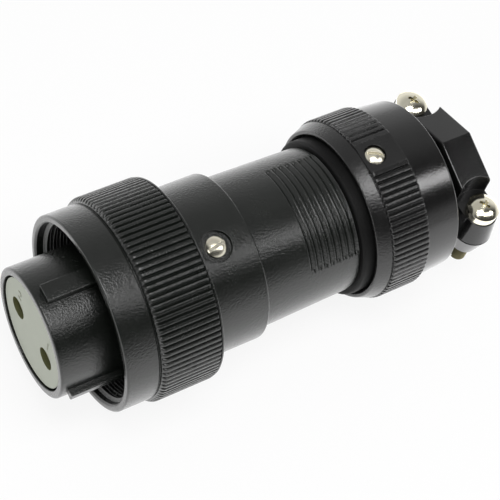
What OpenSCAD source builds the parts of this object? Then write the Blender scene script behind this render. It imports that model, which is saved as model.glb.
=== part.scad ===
// Waterproof circular cable connector: keyed plug nose with a spinning
// coupling nut, a barrel, and an end bell with a cable clamp.
// Millimetres. The axis is X: the nose's front face is at x = 0 and the
// cable leaves towards +X. The wide key and the clamp saddle point to +Z.

/* [Nose] */
// Outside diameter of the plug nose
nose_d = 22.7; // [22.2:0.1:23.2]
// Bore of the nose around the contact insert
nose_bore_d = 20; // [19.8:0.1:20.6]
// Nose length, from its front face to the flange
nose_l = 19.4; // [18.4:0.1:20.4]
// Rounding of the nose rim
nose_round = 0.5; // [0.3:0.1:0.8]
// Diameter of the flange that stops the coupling nut
flange_d = 29.4; // [28.6:0.1:30]
// Thickness of the flange
flange_t = 2.4; // [1.8:0.1:3]
// Diameter of the spigot that carries the coupling nut and the barrel
spigot_d = 25.2; // [25:0.1:25.6]
// Length of the spigot behind the flange
spigot_l = 13; // [12:0.1:14]
// Wall of the spigot around the insert's flange
spigot_w = 1.6; // [1.4:0.1:1.8]
// Distance of the insert's seat behind the flange's front face
seat_l = 0.8; // [0.5:0.1:1.4]

/* [Keys] */
// Height of the wide key over the nose
wide_key_h = 1.5; // [1:0.05:1.8]
// Height of the narrow keys over the nose
narrow_key_h = 1.2; // [0.8:0.05:1.6]
// Distance of the keys from the nose's front face
key_start = 1.4; // [1:0.1:2.4]
// Length of the keys
key_l = 15.4; // [12:0.1:15.6]
// Width of the wide key
wide_key_w = 3.3; // [2.5:0.1:4.5]
// Width of the two narrow keys
narrow_key_w = 1.9; // [1.5:0.1:2.4]
// Angle from the wide key to each narrow key
narrow_key_angle = 97; // [80:1:110]

/* [Contact insert] */
// Diameter of the insert's front
insert_d = 19.3; // [19:0.1:19.6]
// Depth of the insert's face behind the nose rim
insert_recess = 0.35; // [0:0.05:1]
// Thickness of the insert's flange behind the seat
insert_flange_t = 3; // [2.6:0.1:3.6]
// Thickness of the retainer behind the insert
retainer_t = 3; // [2.4:0.1:4]
// Radial wall of the retaining ring
ring_w = 2; // [1.5:0.1:2.5]
// Thickness of the retaining ring
ring_t = 1; // [0.8:0.1:1.4]
// Depth of the retaining ring's groove
ring_groove = 0.45; // [0.3:0.05:0.6]
// Gap between the retaining ring's ends
ring_gap = 4; // [2:0.1:6]

/* [Contacts] */
// Distance between the two contacts
contact_pitch = 10.1; // [9:0.1:10.6]
// Diameter of the contact holes in the insert
contact_hole_d = 3.9; // [3.7:0.1:4.3]
// Outside diameter of a socket contact
contact_d = 3.6; // [3.4:0.1:3.8]
// Bore of a socket contact
socket_d = 2.52; // [2.2:0.02:2.7]
// Depth of the socket bore
socket_l = 9.5; // [8:0.1:11]
// Depth of a contact's mouth behind the insert's face
contact_recess = 0.9; // [0.5:0.1:2]
// Diameter of a contact's collar
contact_collar_d = 4.8; // [4.5:0.1:5.4]
// Thickness of a contact's collar
contact_collar_t = 2; // [1.4:0.1:2.2]
// Length of the solder cup behind the retainer
cup_l = 5.5; // [4:0.1:7]
// Bore of the solder cup
cup_d = 2.6; // [2.2:0.1:2.8]
// Width of the saw cut between a socket's tines
tine_slot = 0.4; // [0.2:0.1:0.6]
// Width of the spring band around the tines
spring_w = 2; // [1:0.1:3]
// Thickness of the spring band
spring_t = 0.28; // [0.2:0.02:0.3]
// Distance of the spring band from the contact's mouth
spring_x = 1.6; // [1:0.1:4]

/* [Coupling nut] */
// Diameter of the smooth front band
band_d = 34.4; // [33.8:0.1:34.8]
// Diameter over the grip ribs
nut_rib_d = 36.1; // [35.6:0.1:37]
// Length of the coupling nut
nut_l = 17.3; // [16.8:0.05:18]
// Length of the smooth front band
band_l = 5.95; // [5:0.05:7]
// Rounding of the front rim
band_round = 0.4; // [0.3:0.1:0.8]
// Number of grip ribs
nut_ribs = 104; // [80:4:112]
// Depth of the grooves between the ribs
nut_rib_h = 0.55; // [0.4:0.05:0.65]
// Diameter of the smooth rim behind the ribs
nut_rim_d = 35.8; // [35.2:0.1:36.1]
// Thickness of the smooth rim behind the ribs
nut_rim_t = 0.4; // [0.3:0.05:0.8]
// Largest diameter of the coupling thread
thread_d = 31.7; // [31.4:0.1:31.8]
// Thickness of the lip that the flange holds
nut_lip_t = 3.9; // [3:0.1:4.4]
// Width of the gasket's ring
gasket_w = 2.2; // [1.6:0.1:2.2]
// Thickness of the gasket in front of the flange
gasket_t = 1.5; // [1:0.1:1.8]

/* [Barrel] */
// Diameter of the collar
collar_d = 29.9; // [29.4:0.1:30.6]
// Length of the collar
collar_l = 10.2; // [9.4:0.1:11]
// Rounding of the collar's rear edge
collar_round = 0.5; // [0.3:0.1:0.6]
// Diameter of the barrel behind the collar
barrel_front_d = 27.3; // [26.8:0.1:27.8]
// Diameter of the barrel at its shoulder
barrel_rear_d = 26.4; // [26:0.1:26.8]
// Length of the barrel between collar and shoulder
barrel_l = 18.9; // [17:0.1:21]
// Bore of the barrel
barrel_bore_d = 20.8; // [20.2:0.1:21.2]
// Diameter of the threaded tail inside the end bell
tail_d = 24; // [23.8:0.1:24.4]
// Length of the tail
tail_l = 10.9; // [10:0.1:12]
// Turn of the barrel on the nose when it is locked
barrel_turn = 16; // [-20:1:20]
// Number of grip grooves
grip_grooves = 8; // [5:1:9]
// Distance between grip grooves
grip_pitch = 1.26; // [1:0.02:1.6]
// Width of a grip groove
grip_w = 0.7; // [0.5:0.05:0.8]
// Depth of a grip groove
grip_h = 0.4; // [0.2:0.05:0.6]
// Angle that the grip grooves cover
grip_angle = 89; // [60:1:110]
// Distance of the last grip groove from the shoulder
grip_end = 0.6; // [0.5:0.1:1.5]
// Section of the O-ring between nose and barrel
o_ring_t = 1; // [0.9:0.05:1.1]
// Distance of the O-ring from the barrel's front face
o_ring_x = 7.2; // [6.9:0.1:7.4]

/* [Set screws] */
// Diameter of a set screw's thread
set_d = 2; // [1.6:0.1:2.4]
// Diameter of a set screw's head
set_head_d = 3.6; // [3.2:0.1:3.8]
// Height of a set screw's head
set_head_h = 1.2; // [0.9:0.1:1.4]
// Diameter of the recess around the collar screw's head
collar_recess_d = 5.4; // [4.6:0.1:5.8]
// Depth of the recess for a set screw's head
set_recess = 0.9; // [0.6:0.1:1.1]
// Depth of the dimple that a set screw's tip bites into
set_bite = 0.5; // [0.3:0.05:0.6]
// Width of a set screw's slot
set_slot_w = 0.6; // [0.4:0.1:0.8]
// Depth of a set screw's slot
set_slot_h = 0.6; // [0.4:0.1:0.7]
// Turn of the collar screw's slot about its axis
collar_slot_turn = 12; // [0:1:180]
// Turn of the end bell screw's slot about its axis
bell_slot_turn = 150; // [0:1:180]
// Distance of the collar's set screw from the collar's front
collar_set_x = 3.7; // [3.4:0.1:5]
// Distance of the end bell's set screw from the start of its ribs
bell_set_x = 2.6; // [2.5:0.1:4.5]

/* [End bell] */
// Distance between the barrel's shoulder and the end bell
bell_gap = 2.1; // [1.6:0.1:2.6]
// Length of the end bell, from its front lip to its rear face
bell_l = 17; // [16.4:0.1:18.2]
// Wall of the front lip around the gasket's seat
bell_lip_w = 1.05; // [0.9:0.05:1.2]
// Chamfer inside the front lip
bell_lip_chamfer = 0.5; // [0.3:0.05:0.55]
// Length of the cone between lip and ribs
bell_cone_l = 2.6; // [2:0.1:3.2]
// Diameter over the grip ribs
bell_rib_d = 33.2; // [32.6:0.1:33.8]
// Length of the ribbed grip
bell_rib_l = 7.4; // [6.4:0.1:8]
// Number of grip ribs around the end bell
bell_ribs = 92; // [80:4:100]
// Depth of the grooves between the ribs
bell_rib_h = 0.45; // [0.3:0.05:0.6]
// Angle of the smooth pad around the set screw, to each side
pad_angle = 13; // [11:1:18]
// Height of the pad's flat over the axis
pad_z = 16.2; // [15.9:0.05:16.4]
// Width of the pad's flat
pad_w = 5.8; // [4.8:0.1:6.4]
// Diameter of the bell behind the ribs
bell_front_d = 31.9; // [31.4:0.1:32.2]
// Diameter of the bell at its rear face
bell_rear_d = 31; // [30.2:0.1:31.4]
// Rounding of the bell's rear edge
bell_round = 0.5; // [0.3:0.1:1]
// Thickness of the bell's rear wall
bell_wall = 1.5; // [1.2:0.1:2]
// Diameter of the cable's hole in the rear wall
cable_hole_d = 13.2; // [12.6:0.1:14]

/* [Cable seal] */
// Width of the gasket's ring between barrel and end bell
bell_gasket_w = 2.15; // [1.8:0.05:2.2]
// Depth of the gasket's seat in the end bell
bell_gasket_seat = 1.6; // [1.2:0.1:2]
// Outside diameter of the cable bushing and the slip washer
bushing_d = 22.4; // [21.8:0.1:22.8]
// Bore of the cable bushing
bushing_bore_d = 12.2; // [11.9:0.1:12.6]
// Bore of the slip washer
washer_bore_d = 13; // [12.4:0.1:14]
// Thickness of the slip washer
washer_t = 1; // [0.8:0.1:1.2]
// Height of the bushing's conical ends
bushing_cone = 1.2; // [0.6:0.1:1.8]

/* [Cable clamp] */
// Diameter of the cable that the closed clamp holds
clamp_d = 11.5; // [11.2:0.1:12]
// Distance of the clamp screws from the bell's rear face
clamp_x = 7.05; // [6.6:0.05:7.6]
// Distance between the clamp screws
clamp_pitch = 24; // [23.2:0.1:24.6]
// Thickness of the clamp along the cable
clamp_t = 6.4; // [5.8:0.1:6.6]
// Height of the saddle's ridge over the axis
ridge_z = 10.6; // [9.8:0.1:11.4]
// Slope of the saddle's two roof faces
roof_angle = 20; // [16:1:22]
// Height of the screw seats over the axis
seat_z = 3.7; // [3.2:0.1:4.2]
// Depth of the parting plane under the axis
parting_z = 1.5; // [1:0.1:2]
// Space between the two clamp halves when closed
clamp_gap = 0.3; // [0.2:0.05:0.5]
// Radius of the scallops that clear the screw heads
scallop_r = 4.75; // [4:0.05:5]
// Radius of the saddle's lugs at the screw seats
lug_r = 3; // [2.9:0.1:3.4]
// Radius of the saddle's lugs at the parting plane
lug_foot_r = 3.65; // [3.2:0.05:3.8]
// Radius of the lower bosses at their tips
boss_tip_r = 2.3; // [2:0.1:2.6]
// Length of the lower bosses
boss_l = 4.8; // [4.2:0.1:5.4]
// Depth of the tray's sides under the axis
tray_side_z = 6.2; // [5.4:0.1:6.8]
// Width of the tray between its sides
tray_w = 16.6; // [15:0.1:17.4]
// Depth of the tray's keel under the axis
keel_z = 8.9; // [8.4:0.1:9.6]

/* [Clamp screws] */
// Diameter of the clamp screws
screw_d = 3; // [2.6:0.1:3.2]
// Length of the clamp screws under the head
screw_l = 14.5; // [13:0.1:16]
// Diameter of the screw heads
screw_head_d = 5.7; // [5.2:0.1:6]
// Height of the screw heads
screw_head_h = 2.6; // [2.2:0.1:2.8]
// Radius of the domed head
screw_dome_r = 4.2; // [3.8:0.1:6]
// Length across the cross recess
cross_l = 3; // [2.4:0.1:3.4]
// Width of the cross recess
cross_w = 0.7; // [0.5:0.1:0.9]
// Depth of the cross recess
cross_h = 1.3; // [0.8:0.1:1.5]

/* [Fits] */
// Radial clearance of the coupling nut on its spigot
run_gap = 0.07; // [0.04:0.01:0.1]
// End play on each side of the coupling nut's lip
nut_play = 0.25; // [0.15:0.05:0.4]
// Radial gap between pieces that are screwed or pushed together
fit_gap = 0.1; // [0.05:0.01:0.15]
// Gap between faces that seat on each other
seat_gap = 0.05; // [0.02:0.01:0.08]
// Radial gap around a screw's thread
thread_gap = 0.06; // [0.03:0.01:0.1]
// Radial gap around the set screw's head in the pad
head_gap = 0.15; // [0.1:0.05:0.3]
// Radial gap around the clamp screws in the saddle
hole_gap = 0.2; // [0.15:0.05:0.3]
// Break of sharp moulded edges
edge = 0.3; // [0.2:0.05:0.4]
// Overlap of the shapes that make one piece, and of cuts past a face
lap = 0.5; // [0.4:0.1:0.6]

/* [Hidden] */
$fn = 96;

black = [0.12, 0.12, 0.12];
rubber = [0.05, 0.05, 0.05];
stone = [0.74, 0.75, 0.68];
brass = [0.74, 0.64, 0.34];
nickel = [0.80, 0.80, 0.76];
steel = [0.66, 0.67, 0.68];

// Stations along the axis, from the nose to the cable
spigot_x = nose_l + flange_t;
nut_lip_x = spigot_x + nut_play;
nut_rear_x = nut_lip_x + nut_lip_t;
nut_front_x = nut_rear_x - nut_l;
nut_rib_x = nut_front_x + band_l;
nut_rim_x = nut_rear_x - nut_rim_t;
barrel_x = nut_rear_x + nut_play;
collar_end_x = barrel_x + collar_l;
spigot_end_x = spigot_x + spigot_l;
shoulder_x = collar_end_x + barrel_l;
tail_end_x = shoulder_x + tail_l;
bell_x = shoulder_x + bell_gap;
bell_rib_x = bell_x + bell_cone_l;
bell_rib_end_x = bell_rib_x + bell_rib_l;
bell_end_x = bell_x + bell_l;
gasket_seat_x = bell_x + bell_gasket_seat;
washer_x = tail_end_x + seat_gap;
bushing_x = washer_x + washer_t + seat_gap;
cavity_end_x = bell_end_x - bell_wall;
screws_x = bell_end_x + clamp_x;

seat_x = nose_l + seat_l;
seat_bore_d = spigot_d - 2 * spigot_w;
insert_flange_x = seat_x + seat_gap;
retainer_x = insert_flange_x + insert_flange_t + seat_gap;
ring_x = retainer_x + retainer_t + seat_gap;
contact_x = insert_recess + contact_recess;
contact_collar_x = retainer_x - seat_gap - contact_collar_t;
contact_end_x = ring_x + cup_l;
insert_flange_d = seat_bore_d - 2 * fit_gap;

collar_screw_x = barrel_x + collar_set_x;
bell_screw_x = bell_rib_x + bell_set_x;
o_ring_center_x = barrel_x + o_ring_x;
spigot_bore_d = spigot_d + 2 * fit_gap;
tail_bore_d = tail_d + 2 * fit_gap;
bell_gasket_d = tail_bore_d + 2 * bell_gasket_w;
gasket_seat_d = bell_gasket_d + 2 * fit_gap;
bell_lip_d = gasket_seat_d + 2 * bell_lip_w;
cavity_d = bushing_d + 2 * fit_gap;
o_ring_r = spigot_bore_d / 2 - seat_gap - o_ring_t / 2;

tray_top_z = -parting_z - clamp_gap;

// Outline of a ribbed grip; ribs closer to the top than bare degrees are filled
function rib_outline(d, h, ribs, bare) = let (step = 360 / ribs) [
    for (i = [0 : ribs - 1])
        for (corner = [[-0.34, 0], [-0.2, 1], [0.2, 1], [0.34, 0]])
            let (
                a = i * step,
                filled = min(a, 360 - a) < bare,
                r = d / 2 - (filled ? 0 : h * (1 - corner[1])),
            )
                [-r * cos(a + corner[0] * step), r * sin(a + corner[0] * step)]
];

// Revolves a profile of [radius, station] about the connector's axis
module turned() {
    rotate([0, 90, 0])
        rotate_extrude()
            children();
}

// Extrudes an outline of [-z, y] from one station to another
module drawn(x0, x1) {
    translate([x0, 0, 0])
        rotate([0, 90, 0])
            linear_extrude(height = x1 - x0)
                children();
}

// Round bar on the axis
module bar(x0, x1, d) {
    translate([x0, 0, 0])
        rotate([0, 90, 0])
            cylinder(d = d, h = x1 - x0);
}

// Plain ring on the axis
module ring(x0, x1, outer_d, inner_d) {
    turned()
        translate([inner_d / 2, x0])
            square([(outer_d - inner_d) / 2, x1 - x0]);
}

// Bar whose front outer edge is rounded
module front_rounded_bar(x0, x1, d, round) {
    turned() {
        translate([0, x0 + round])
            square([d / 2, x1 - x0 - round]);
        translate([0, x0])
            square([d / 2 - round, round + lap / 10]);
        translate([d / 2 - round, x0 + round])
            intersection() {
                circle(r = round);
                translate([-round, -round])
                    square([2 * round, round]);
            }
    }
}

// Places a radial thing at a station and an angle from the top
module radial(x, angle) {
    rotate([angle, 0, 0])
        translate([x, 0, 0])
            children();
}

// One locating key along the nose
module key(width, height, angle) {
    intersection() {
        radial(key_start, angle)
            translate([0, -width / 2, nose_d / 2 - lap])
                cube([key_l, width, height + 2 * lap]);
        bar(key_start, key_start + key_l, nose_d + 2 * height);
    }
}

// Places things at both contacts
module contact_places() {
    for (side = [-1, 1])
        translate([0, side * contact_pitch / 2, 0])
            children();
}

// Places things at both clamp screws
module screw_places() {
    for (side = [-1, 1])
        translate([screws_x, side * clamp_pitch / 2, 0])
            children();
}

// Hole and head recess for a set screw whose head seats at a height over the axis
module set_screw_hole(seat, recess_d) {
    translate([0, 0, -lap])
        cylinder(d = set_d + 2 * thread_gap, h = seat + 2 * lap);
    translate([0, 0, seat])
        cylinder(d = recess_d, h = nut_rib_d);
}

// Slotted set screw between its tip and its head seat
module set_screw(tip, seat, turn) {
    color(nickel)
        difference() {
            union() {
                translate([0, 0, tip])
                    cylinder(d = set_d, h = seat - tip + lap);
                translate([0, 0, seat + seat_gap])
                    cylinder(d = set_head_d, h = set_head_h - edge);
                translate([0, 0, seat + seat_gap + set_head_h - edge])
                    cylinder(d1 = set_head_d, d2 = set_head_d - 2 * edge, h = edge);
            }
            translate([0, 0, seat + seat_gap + set_head_h - set_slot_h])
                rotate([0, 0, turn])
                    translate([-set_head_d, -set_slot_w / 2, 0])
                        cube([2 * set_head_d, set_slot_w, set_head_d]);
        }
}

// Keyed nose, flange and threaded spigot in one moulding
module front_shell() {
    color(black)
        difference() {
            union() {
                front_rounded_bar(0, nose_l + lap, nose_d, nose_round);
                bar(nose_l, spigot_x, flange_d);
                bar(spigot_x - lap, spigot_end_x, spigot_d);
                key(wide_key_w, wide_key_h, 0);
                for (side = [-1, 1])
                    key(narrow_key_w, narrow_key_h, side * narrow_key_angle);
            }
            bar(-lap, seat_x + lap, nose_bore_d);
            bar(seat_x, spigot_end_x + lap, seat_bore_d);
            bar(ring_x - seat_gap, ring_x + ring_t + seat_gap, seat_bore_d + 2 * ring_groove);
            ring(o_ring_center_x - o_ring_t / 2 - fit_gap, o_ring_center_x + o_ring_t / 2 + fit_gap,
                spigot_d + 2 * lap, 2 * o_ring_r - o_ring_t - 2 * seat_gap);
            radial(collar_screw_x, barrel_turn)
                translate([0, 0, spigot_d / 2 - set_bite])
                    cylinder(d = set_d + 2 * thread_gap, h = set_bite + lap);
        }
}

// Grey contact insert with its two contact holes
module insulator() {
    color(stone)
        difference() {
            union() {
                bar(insert_recess, insert_flange_x + lap, insert_d);
                bar(insert_flange_x, insert_flange_x + insert_flange_t, insert_flange_d);
            }
            contact_places() {
                bar(insert_recess - lap, retainer_x, contact_hole_d);
                bar(contact_collar_x - seat_gap, retainer_x, contact_collar_d + 2 * fit_gap);
            }
        }
}

// Rear disc that keeps the contacts in the insert
module contact_retainer() {
    color(stone)
        difference() {
            bar(retainer_x, retainer_x + retainer_t, insert_flange_d);
            contact_places()
                bar(retainer_x - lap, retainer_x + retainer_t + lap, contact_hole_d);
        }
}

// Split ring that holds insert and retainer in the shell
module insert_ring() {
    color(steel)
        difference() {
            ring(ring_x, ring_x + ring_t, seat_bore_d + 2 * (ring_groove - seat_gap),
                seat_bore_d + 2 * (ring_groove - ring_w));
            translate([ring_x - lap, -ring_gap / 2, -seat_bore_d])
                cube([ring_t + 2 * lap, ring_gap, seat_bore_d]);
        }
}

// Female contact with slit tines, a collar and a solder cup
module socket_contact() {
    band_x = contact_x + spring_x;
    color(brass)
        difference() {
            union() {
                bar(contact_x, contact_end_x, contact_d);
                bar(contact_collar_x, contact_collar_x + contact_collar_t, contact_collar_d);
            }
            bar(contact_x - lap, contact_x + socket_l, socket_d);
            bar(contact_end_x - cup_l, contact_end_x + lap, cup_d);
            ring(band_x - fit_gap, band_x + spring_w + fit_gap, contact_d + lap, contact_d - 2 * spring_t);
            translate([contact_x - lap, -tine_slot / 2, -contact_d])
                cube([socket_l, tine_slot, 2 * contact_d]);
            translate([contact_end_x - cup_l / 2, -contact_d, 0])
                cube([cup_l, 2 * contact_d, contact_d]);
        }
}

// Spring band that presses the tines together
module contact_spring() {
    band_x = contact_x + spring_x;
    color(steel)
        ring(band_x, band_x + spring_w, contact_d, contact_d - 2 * spring_t + 2 * seat_gap);
}

// Rubber ring that seals against the mating shell
module mating_gasket() {
    color(rubber)
        ring(nose_l - seat_gap - gasket_t, nose_l - seat_gap,
            nose_d + 2 * fit_gap + 2 * gasket_w, nose_d + 2 * fit_gap);
}

// Ribbed nut that draws plug and receptacle together
module coupling_nut() {
    color(black)
        difference() {
            union() {
                front_rounded_bar(nut_front_x, nut_rear_x - lap, band_d, band_round);
                intersection() {
                    drawn(nut_rib_x, nut_rear_x)
                        polygon(rib_outline(nut_rib_d, nut_rib_h, nut_ribs, 0));
                    turned()
                        polygon([
                            [0, nut_rib_x], [band_d / 2, nut_rib_x],
                            [nut_rib_d / 2, nut_rib_x + 2 * edge],
                            [nut_rib_d / 2, nut_rim_x - edge],
                            [nut_rib_d / 2 - 2 * edge, nut_rear_x], [0, nut_rear_x],
                        ]);
                }
                bar(nut_rim_x, nut_rear_x, nut_rim_d);
            }
            bar(nut_front_x - lap, nut_lip_x, thread_d);
            bar(nut_lip_x - lap, nut_rear_x + lap, spigot_d + 2 * run_gap);
            turned()
                polygon([
                    [0, nut_front_x - lap], [thread_d / 2 + edge + lap, nut_front_x - lap],
                    [thread_d / 2, nut_front_x + edge], [0, nut_front_x + edge],
                ]);
        }
}

// O-ring between the nose's spigot and the barrel
module shell_o_ring() {
    color(rubber)
        turned()
            translate([o_ring_r, o_ring_center_x])
                circle(d = o_ring_t);
}

// Grip grooves that cover part of the barrel's round
module grip_cuts() {
    depth_r = barrel_rear_d / 2 - grip_h;
    for (i = [0 : grip_grooves - 1])
        rotate([-grip_angle / 2 - 180, 0, 0])
            rotate([0, 90, 0])
                rotate_extrude(angle = grip_angle)
                    translate([depth_r, shoulder_x - grip_end - grip_w / 2 - i * grip_pitch])
                        square([barrel_front_d / 2 - depth_r + lap, grip_w]);
}

// Barrel with its collar, grip patch and threaded tail, turned about the axis
module barrel() {
    color(black)
        rotate([barrel_turn, 0, 0])
            difference() {
                turned()
                    polygon([
                        [barrel_bore_d / 2, barrel_x + lap], [spigot_bore_d / 2, barrel_x],
                        [collar_d / 2 - edge, barrel_x], [collar_d / 2, barrel_x + edge],
                        [collar_d / 2, collar_end_x - collar_round],
                        [collar_d / 2 - collar_round, collar_end_x],
                        [barrel_front_d / 2, collar_end_x],
                        [barrel_rear_d / 2, shoulder_x - edge], [barrel_rear_d / 2 - edge, shoulder_x],
                        [tail_d / 2, shoulder_x], [tail_d / 2, tail_end_x - edge],
                        [tail_d / 2 - edge, tail_end_x], [barrel_bore_d / 2, tail_end_x],
                    ]);
                bar(barrel_x - lap, spigot_end_x + seat_gap, spigot_bore_d);
                grip_cuts();
                radial(collar_screw_x, 0)
                    translate([0, 0, spigot_d / 2])
                        set_screw_hole(collar_d / 2 - set_recess - spigot_d / 2, collar_recess_d);
                radial(bell_screw_x, -barrel_turn)
                    translate([0, 0, tail_d / 2 - set_bite])
                        cylinder(d = set_d + 2 * thread_gap, h = set_bite + lap);
            }
}

// Screw that locks the barrel on the nose's thread
module barrel_set_screw() {
    radial(collar_screw_x, barrel_turn)
        set_screw(spigot_d / 2 - set_bite + seat_gap, collar_d / 2 - set_recess, collar_slot_turn);
}

// Outside of the end bell, from its lip to its rear face
module bell_form() {
    turned()
        polygon([
            [0, bell_x], [bell_lip_d / 2 - edge, bell_x], [bell_lip_d / 2, bell_x + edge],
            [bell_rib_d / 2 - edge, bell_rib_x - edge], [bell_rib_d / 2 - edge, bell_rib_x + lap],
            [bell_front_d / 2 - edge, bell_rib_x + lap], [bell_front_d / 2 - edge, bell_rib_end_x - lap],
            [bell_front_d / 2, bell_rib_end_x - lap], [bell_front_d / 2, bell_rib_end_x + edge],
            [bell_rear_d / 2, bell_end_x - bell_round], [0, bell_end_x - bell_round],
        ]);
    turned()
        intersection() {
            translate([bell_rear_d / 2 - bell_round, bell_end_x - bell_round])
                circle(r = bell_round);
            translate([0, bell_end_x - bell_round])
                square([bell_rear_d / 2, bell_round]);
        }
    bar(bell_end_x - bell_round - lap, bell_end_x, bell_rear_d - 2 * bell_round);
}

// Ribbed grip of the end bell, smooth around the set screw
module bell_grip() {
    difference() {
        intersection() {
            drawn(bell_rib_x, bell_rib_end_x)
                polygon(rib_outline(bell_rib_d, bell_rib_h, bell_ribs, pad_angle));
            turned()
                polygon([
                    [0, bell_rib_x], [bell_rib_d / 2 - edge, bell_rib_x],
                    [bell_rib_d / 2, bell_rib_x + edge],
                    [bell_rib_d / 2, bell_rib_end_x - edge], [bell_rib_d / 2 - edge, bell_rib_end_x],
                    [0, bell_rib_end_x],
                ]);
        }
        translate([bell_rib_x - lap, -pad_w / 2, pad_z])
            cube([bell_rib_l + 2 * lap, pad_w, bell_rib_d]);
    }
}

// Fixed lower half of the cable clamp: neck, tray and bosses
module clamp_tray() {
    intersection() {
        bar(bell_end_x - bell_round, screws_x, 2 * keel_z);
        translate([bell_end_x - bell_round, -keel_z, -keel_z])
            cube([clamp_x + bell_round, 2 * keel_z, keel_z + tray_top_z]);
    }
    drawn(screws_x - clamp_t / 2, screws_x + clamp_t / 2)
        polygon([
            [-tray_top_z, -clamp_pitch / 2], [tray_side_z, -tray_w / 2], [keel_z, 0],
            [tray_side_z, tray_w / 2], [-tray_top_z, clamp_pitch / 2],
        ]);
    screw_places()
        translate([0, 0, tray_top_z - boss_l])
            cylinder(r1 = boss_tip_r, r2 = lug_foot_r, h = boss_l);
}

// Ribbed bell with the gasket seat, the gland and the lower clamp half
module end_bell() {
    color(black)
        difference() {
            union() {
                bell_form();
                bell_grip();
                clamp_tray();
            }
            bar(bell_x - lap, gasket_seat_x, gasket_seat_d);
            turned()
                polygon([
                    [0, bell_x - lap], [gasket_seat_d / 2 + bell_lip_chamfer + lap, bell_x - lap],
                    [gasket_seat_d / 2, bell_x + bell_lip_chamfer], [0, bell_x + bell_lip_chamfer],
                ]);
            bar(gasket_seat_x - lap, washer_x + fit_gap, tail_bore_d);
            bar(washer_x, cavity_end_x, cavity_d);
            bar(cavity_end_x - lap, bell_end_x + lap, cable_hole_d);
            bar(bell_end_x - lap, screws_x + clamp_t, clamp_d);
            radial(bell_screw_x, 0)
                translate([0, 0, tail_d / 2])
                    set_screw_hole(pad_z - set_recess - tail_d / 2, set_head_d + 2 * head_gap);
            screw_places()
                translate([0, 0, -screw_l])
                    cylinder(d = screw_d + 2 * thread_gap, h = screw_l);
        }
}

// Rubber ring between the barrel's shoulder and the end bell
module bell_gasket() {
    color(rubber)
        ring(shoulder_x + seat_gap, gasket_seat_x - seat_gap, bell_gasket_d, tail_bore_d);
}

// Screw that locks the end bell on the barrel's tail
module bell_set_screw() {
    radial(bell_screw_x, 0)
        set_screw(tail_d / 2 - set_bite + seat_gap, pad_z - set_recess, bell_slot_turn);
}

// Washer that lets the tail slide round on the bushing
module slip_washer() {
    color(steel)
        ring(washer_x, washer_x + washer_t, bushing_d, washer_bore_d);
}

// Rubber bushing that seals the cable
module cable_bushing() {
    end = cavity_end_x - seat_gap;
    color(rubber)
        turned()
            polygon([
                [bushing_bore_d / 2, bushing_x], [bushing_d / 2 - bushing_cone / 2, bushing_x],
                [bushing_d / 2, bushing_x + bushing_cone], [bushing_d / 2, end - bushing_cone],
                [bushing_d / 2 - bushing_cone / 2, end], [bushing_bore_d / 2, end],
            ]);
}

// Loose upper half of the cable clamp, with a roof and two screw lugs
module clamp_saddle() {
    eave_z = ridge_z - clamp_pitch / 2 * tan(roof_angle);
    color(black)
        difference() {
            union() {
                difference() {
                    drawn(screws_x - clamp_t / 2, screws_x + clamp_t / 2)
                        polygon([
                            [-ridge_z, 0], [-eave_z, clamp_pitch / 2], [parting_z, clamp_pitch / 2],
                            [parting_z, -clamp_pitch / 2], [-eave_z, -clamp_pitch / 2],
                        ]);
                    screw_places()
                        translate([0, 0, seat_z])
                            cylinder(r = scallop_r, h = ridge_z);
                }
                screw_places()
                    translate([0, 0, -parting_z])
                        cylinder(r1 = lug_foot_r, r2 = lug_r, h = seat_z + parting_z);
            }
            bar(screws_x - clamp_t, screws_x + clamp_t, clamp_d);
            translate([screws_x - clamp_t, -clamp_d / 2, -parting_z - lap])
                cube([2 * clamp_t, clamp_d, parting_z + lap]);
            screw_places()
                translate([0, 0, -parting_z - lap])
                    cylinder(d = screw_d + 2 * hole_gap, h = seat_z + parting_z + 2 * lap);
        }
}

// Pan head screw with a cross recess, seated on one saddle lug
module clamp_screw(side) {
    color(nickel)
        translate([screws_x, side * clamp_pitch / 2, seat_z + seat_gap])
            difference() {
                union() {
                    translate([0, 0, -screw_l])
                        cylinder(d = screw_d, h = screw_l + lap);
                    intersection() {
                        cylinder(d = screw_head_d, h = screw_head_h);
                        translate([0, 0, screw_head_h - screw_dome_r])
                            sphere(r = screw_dome_r);
                    }
                }
                for (turn = [0, 90])
                    rotate([0, 0, turn])
                        translate([-cross_l / 2, -cross_w / 2, screw_head_h - cross_h])
                            cube([cross_l, cross_w, screw_head_h]);
            }
}

front_shell();
insulator();
contact_retainer();
insert_ring();
translate([0, contact_pitch / 2, 0]) socket_contact();  // socket_contact_a
translate([0, -contact_pitch / 2, 0]) socket_contact();  // socket_contact_b
translate([0, contact_pitch / 2, 0]) contact_spring();  // contact_spring_a
translate([0, -contact_pitch / 2, 0]) contact_spring();  // contact_spring_b
mating_gasket();
coupling_nut();
shell_o_ring();
barrel();
barrel_set_screw();
end_bell();
bell_gasket();
bell_set_screw();
slip_washer();
cable_bushing();
clamp_saddle();
clamp_screw(-1);  // clamp_screw_near
clamp_screw(1);  // clamp_screw_far
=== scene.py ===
"""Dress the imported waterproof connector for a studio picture.

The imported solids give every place. The mouldings, the gasket and the screws are modelled again
here with rounded edges, moulded ribs, grip grooves and threads, and each rides on the body of
the solid that it stands for. Sizes are in millimetres until they reach a mesh.
"""

import logging
import math
from collections.abc import Callable, Sequence
from dataclasses import dataclass
from enum import Enum
from typing import Any

import bmesh
import bpy
from bmesh.types import BMEdge, BMesh, BMVert
from mathutils import Matrix, Vector


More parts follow.
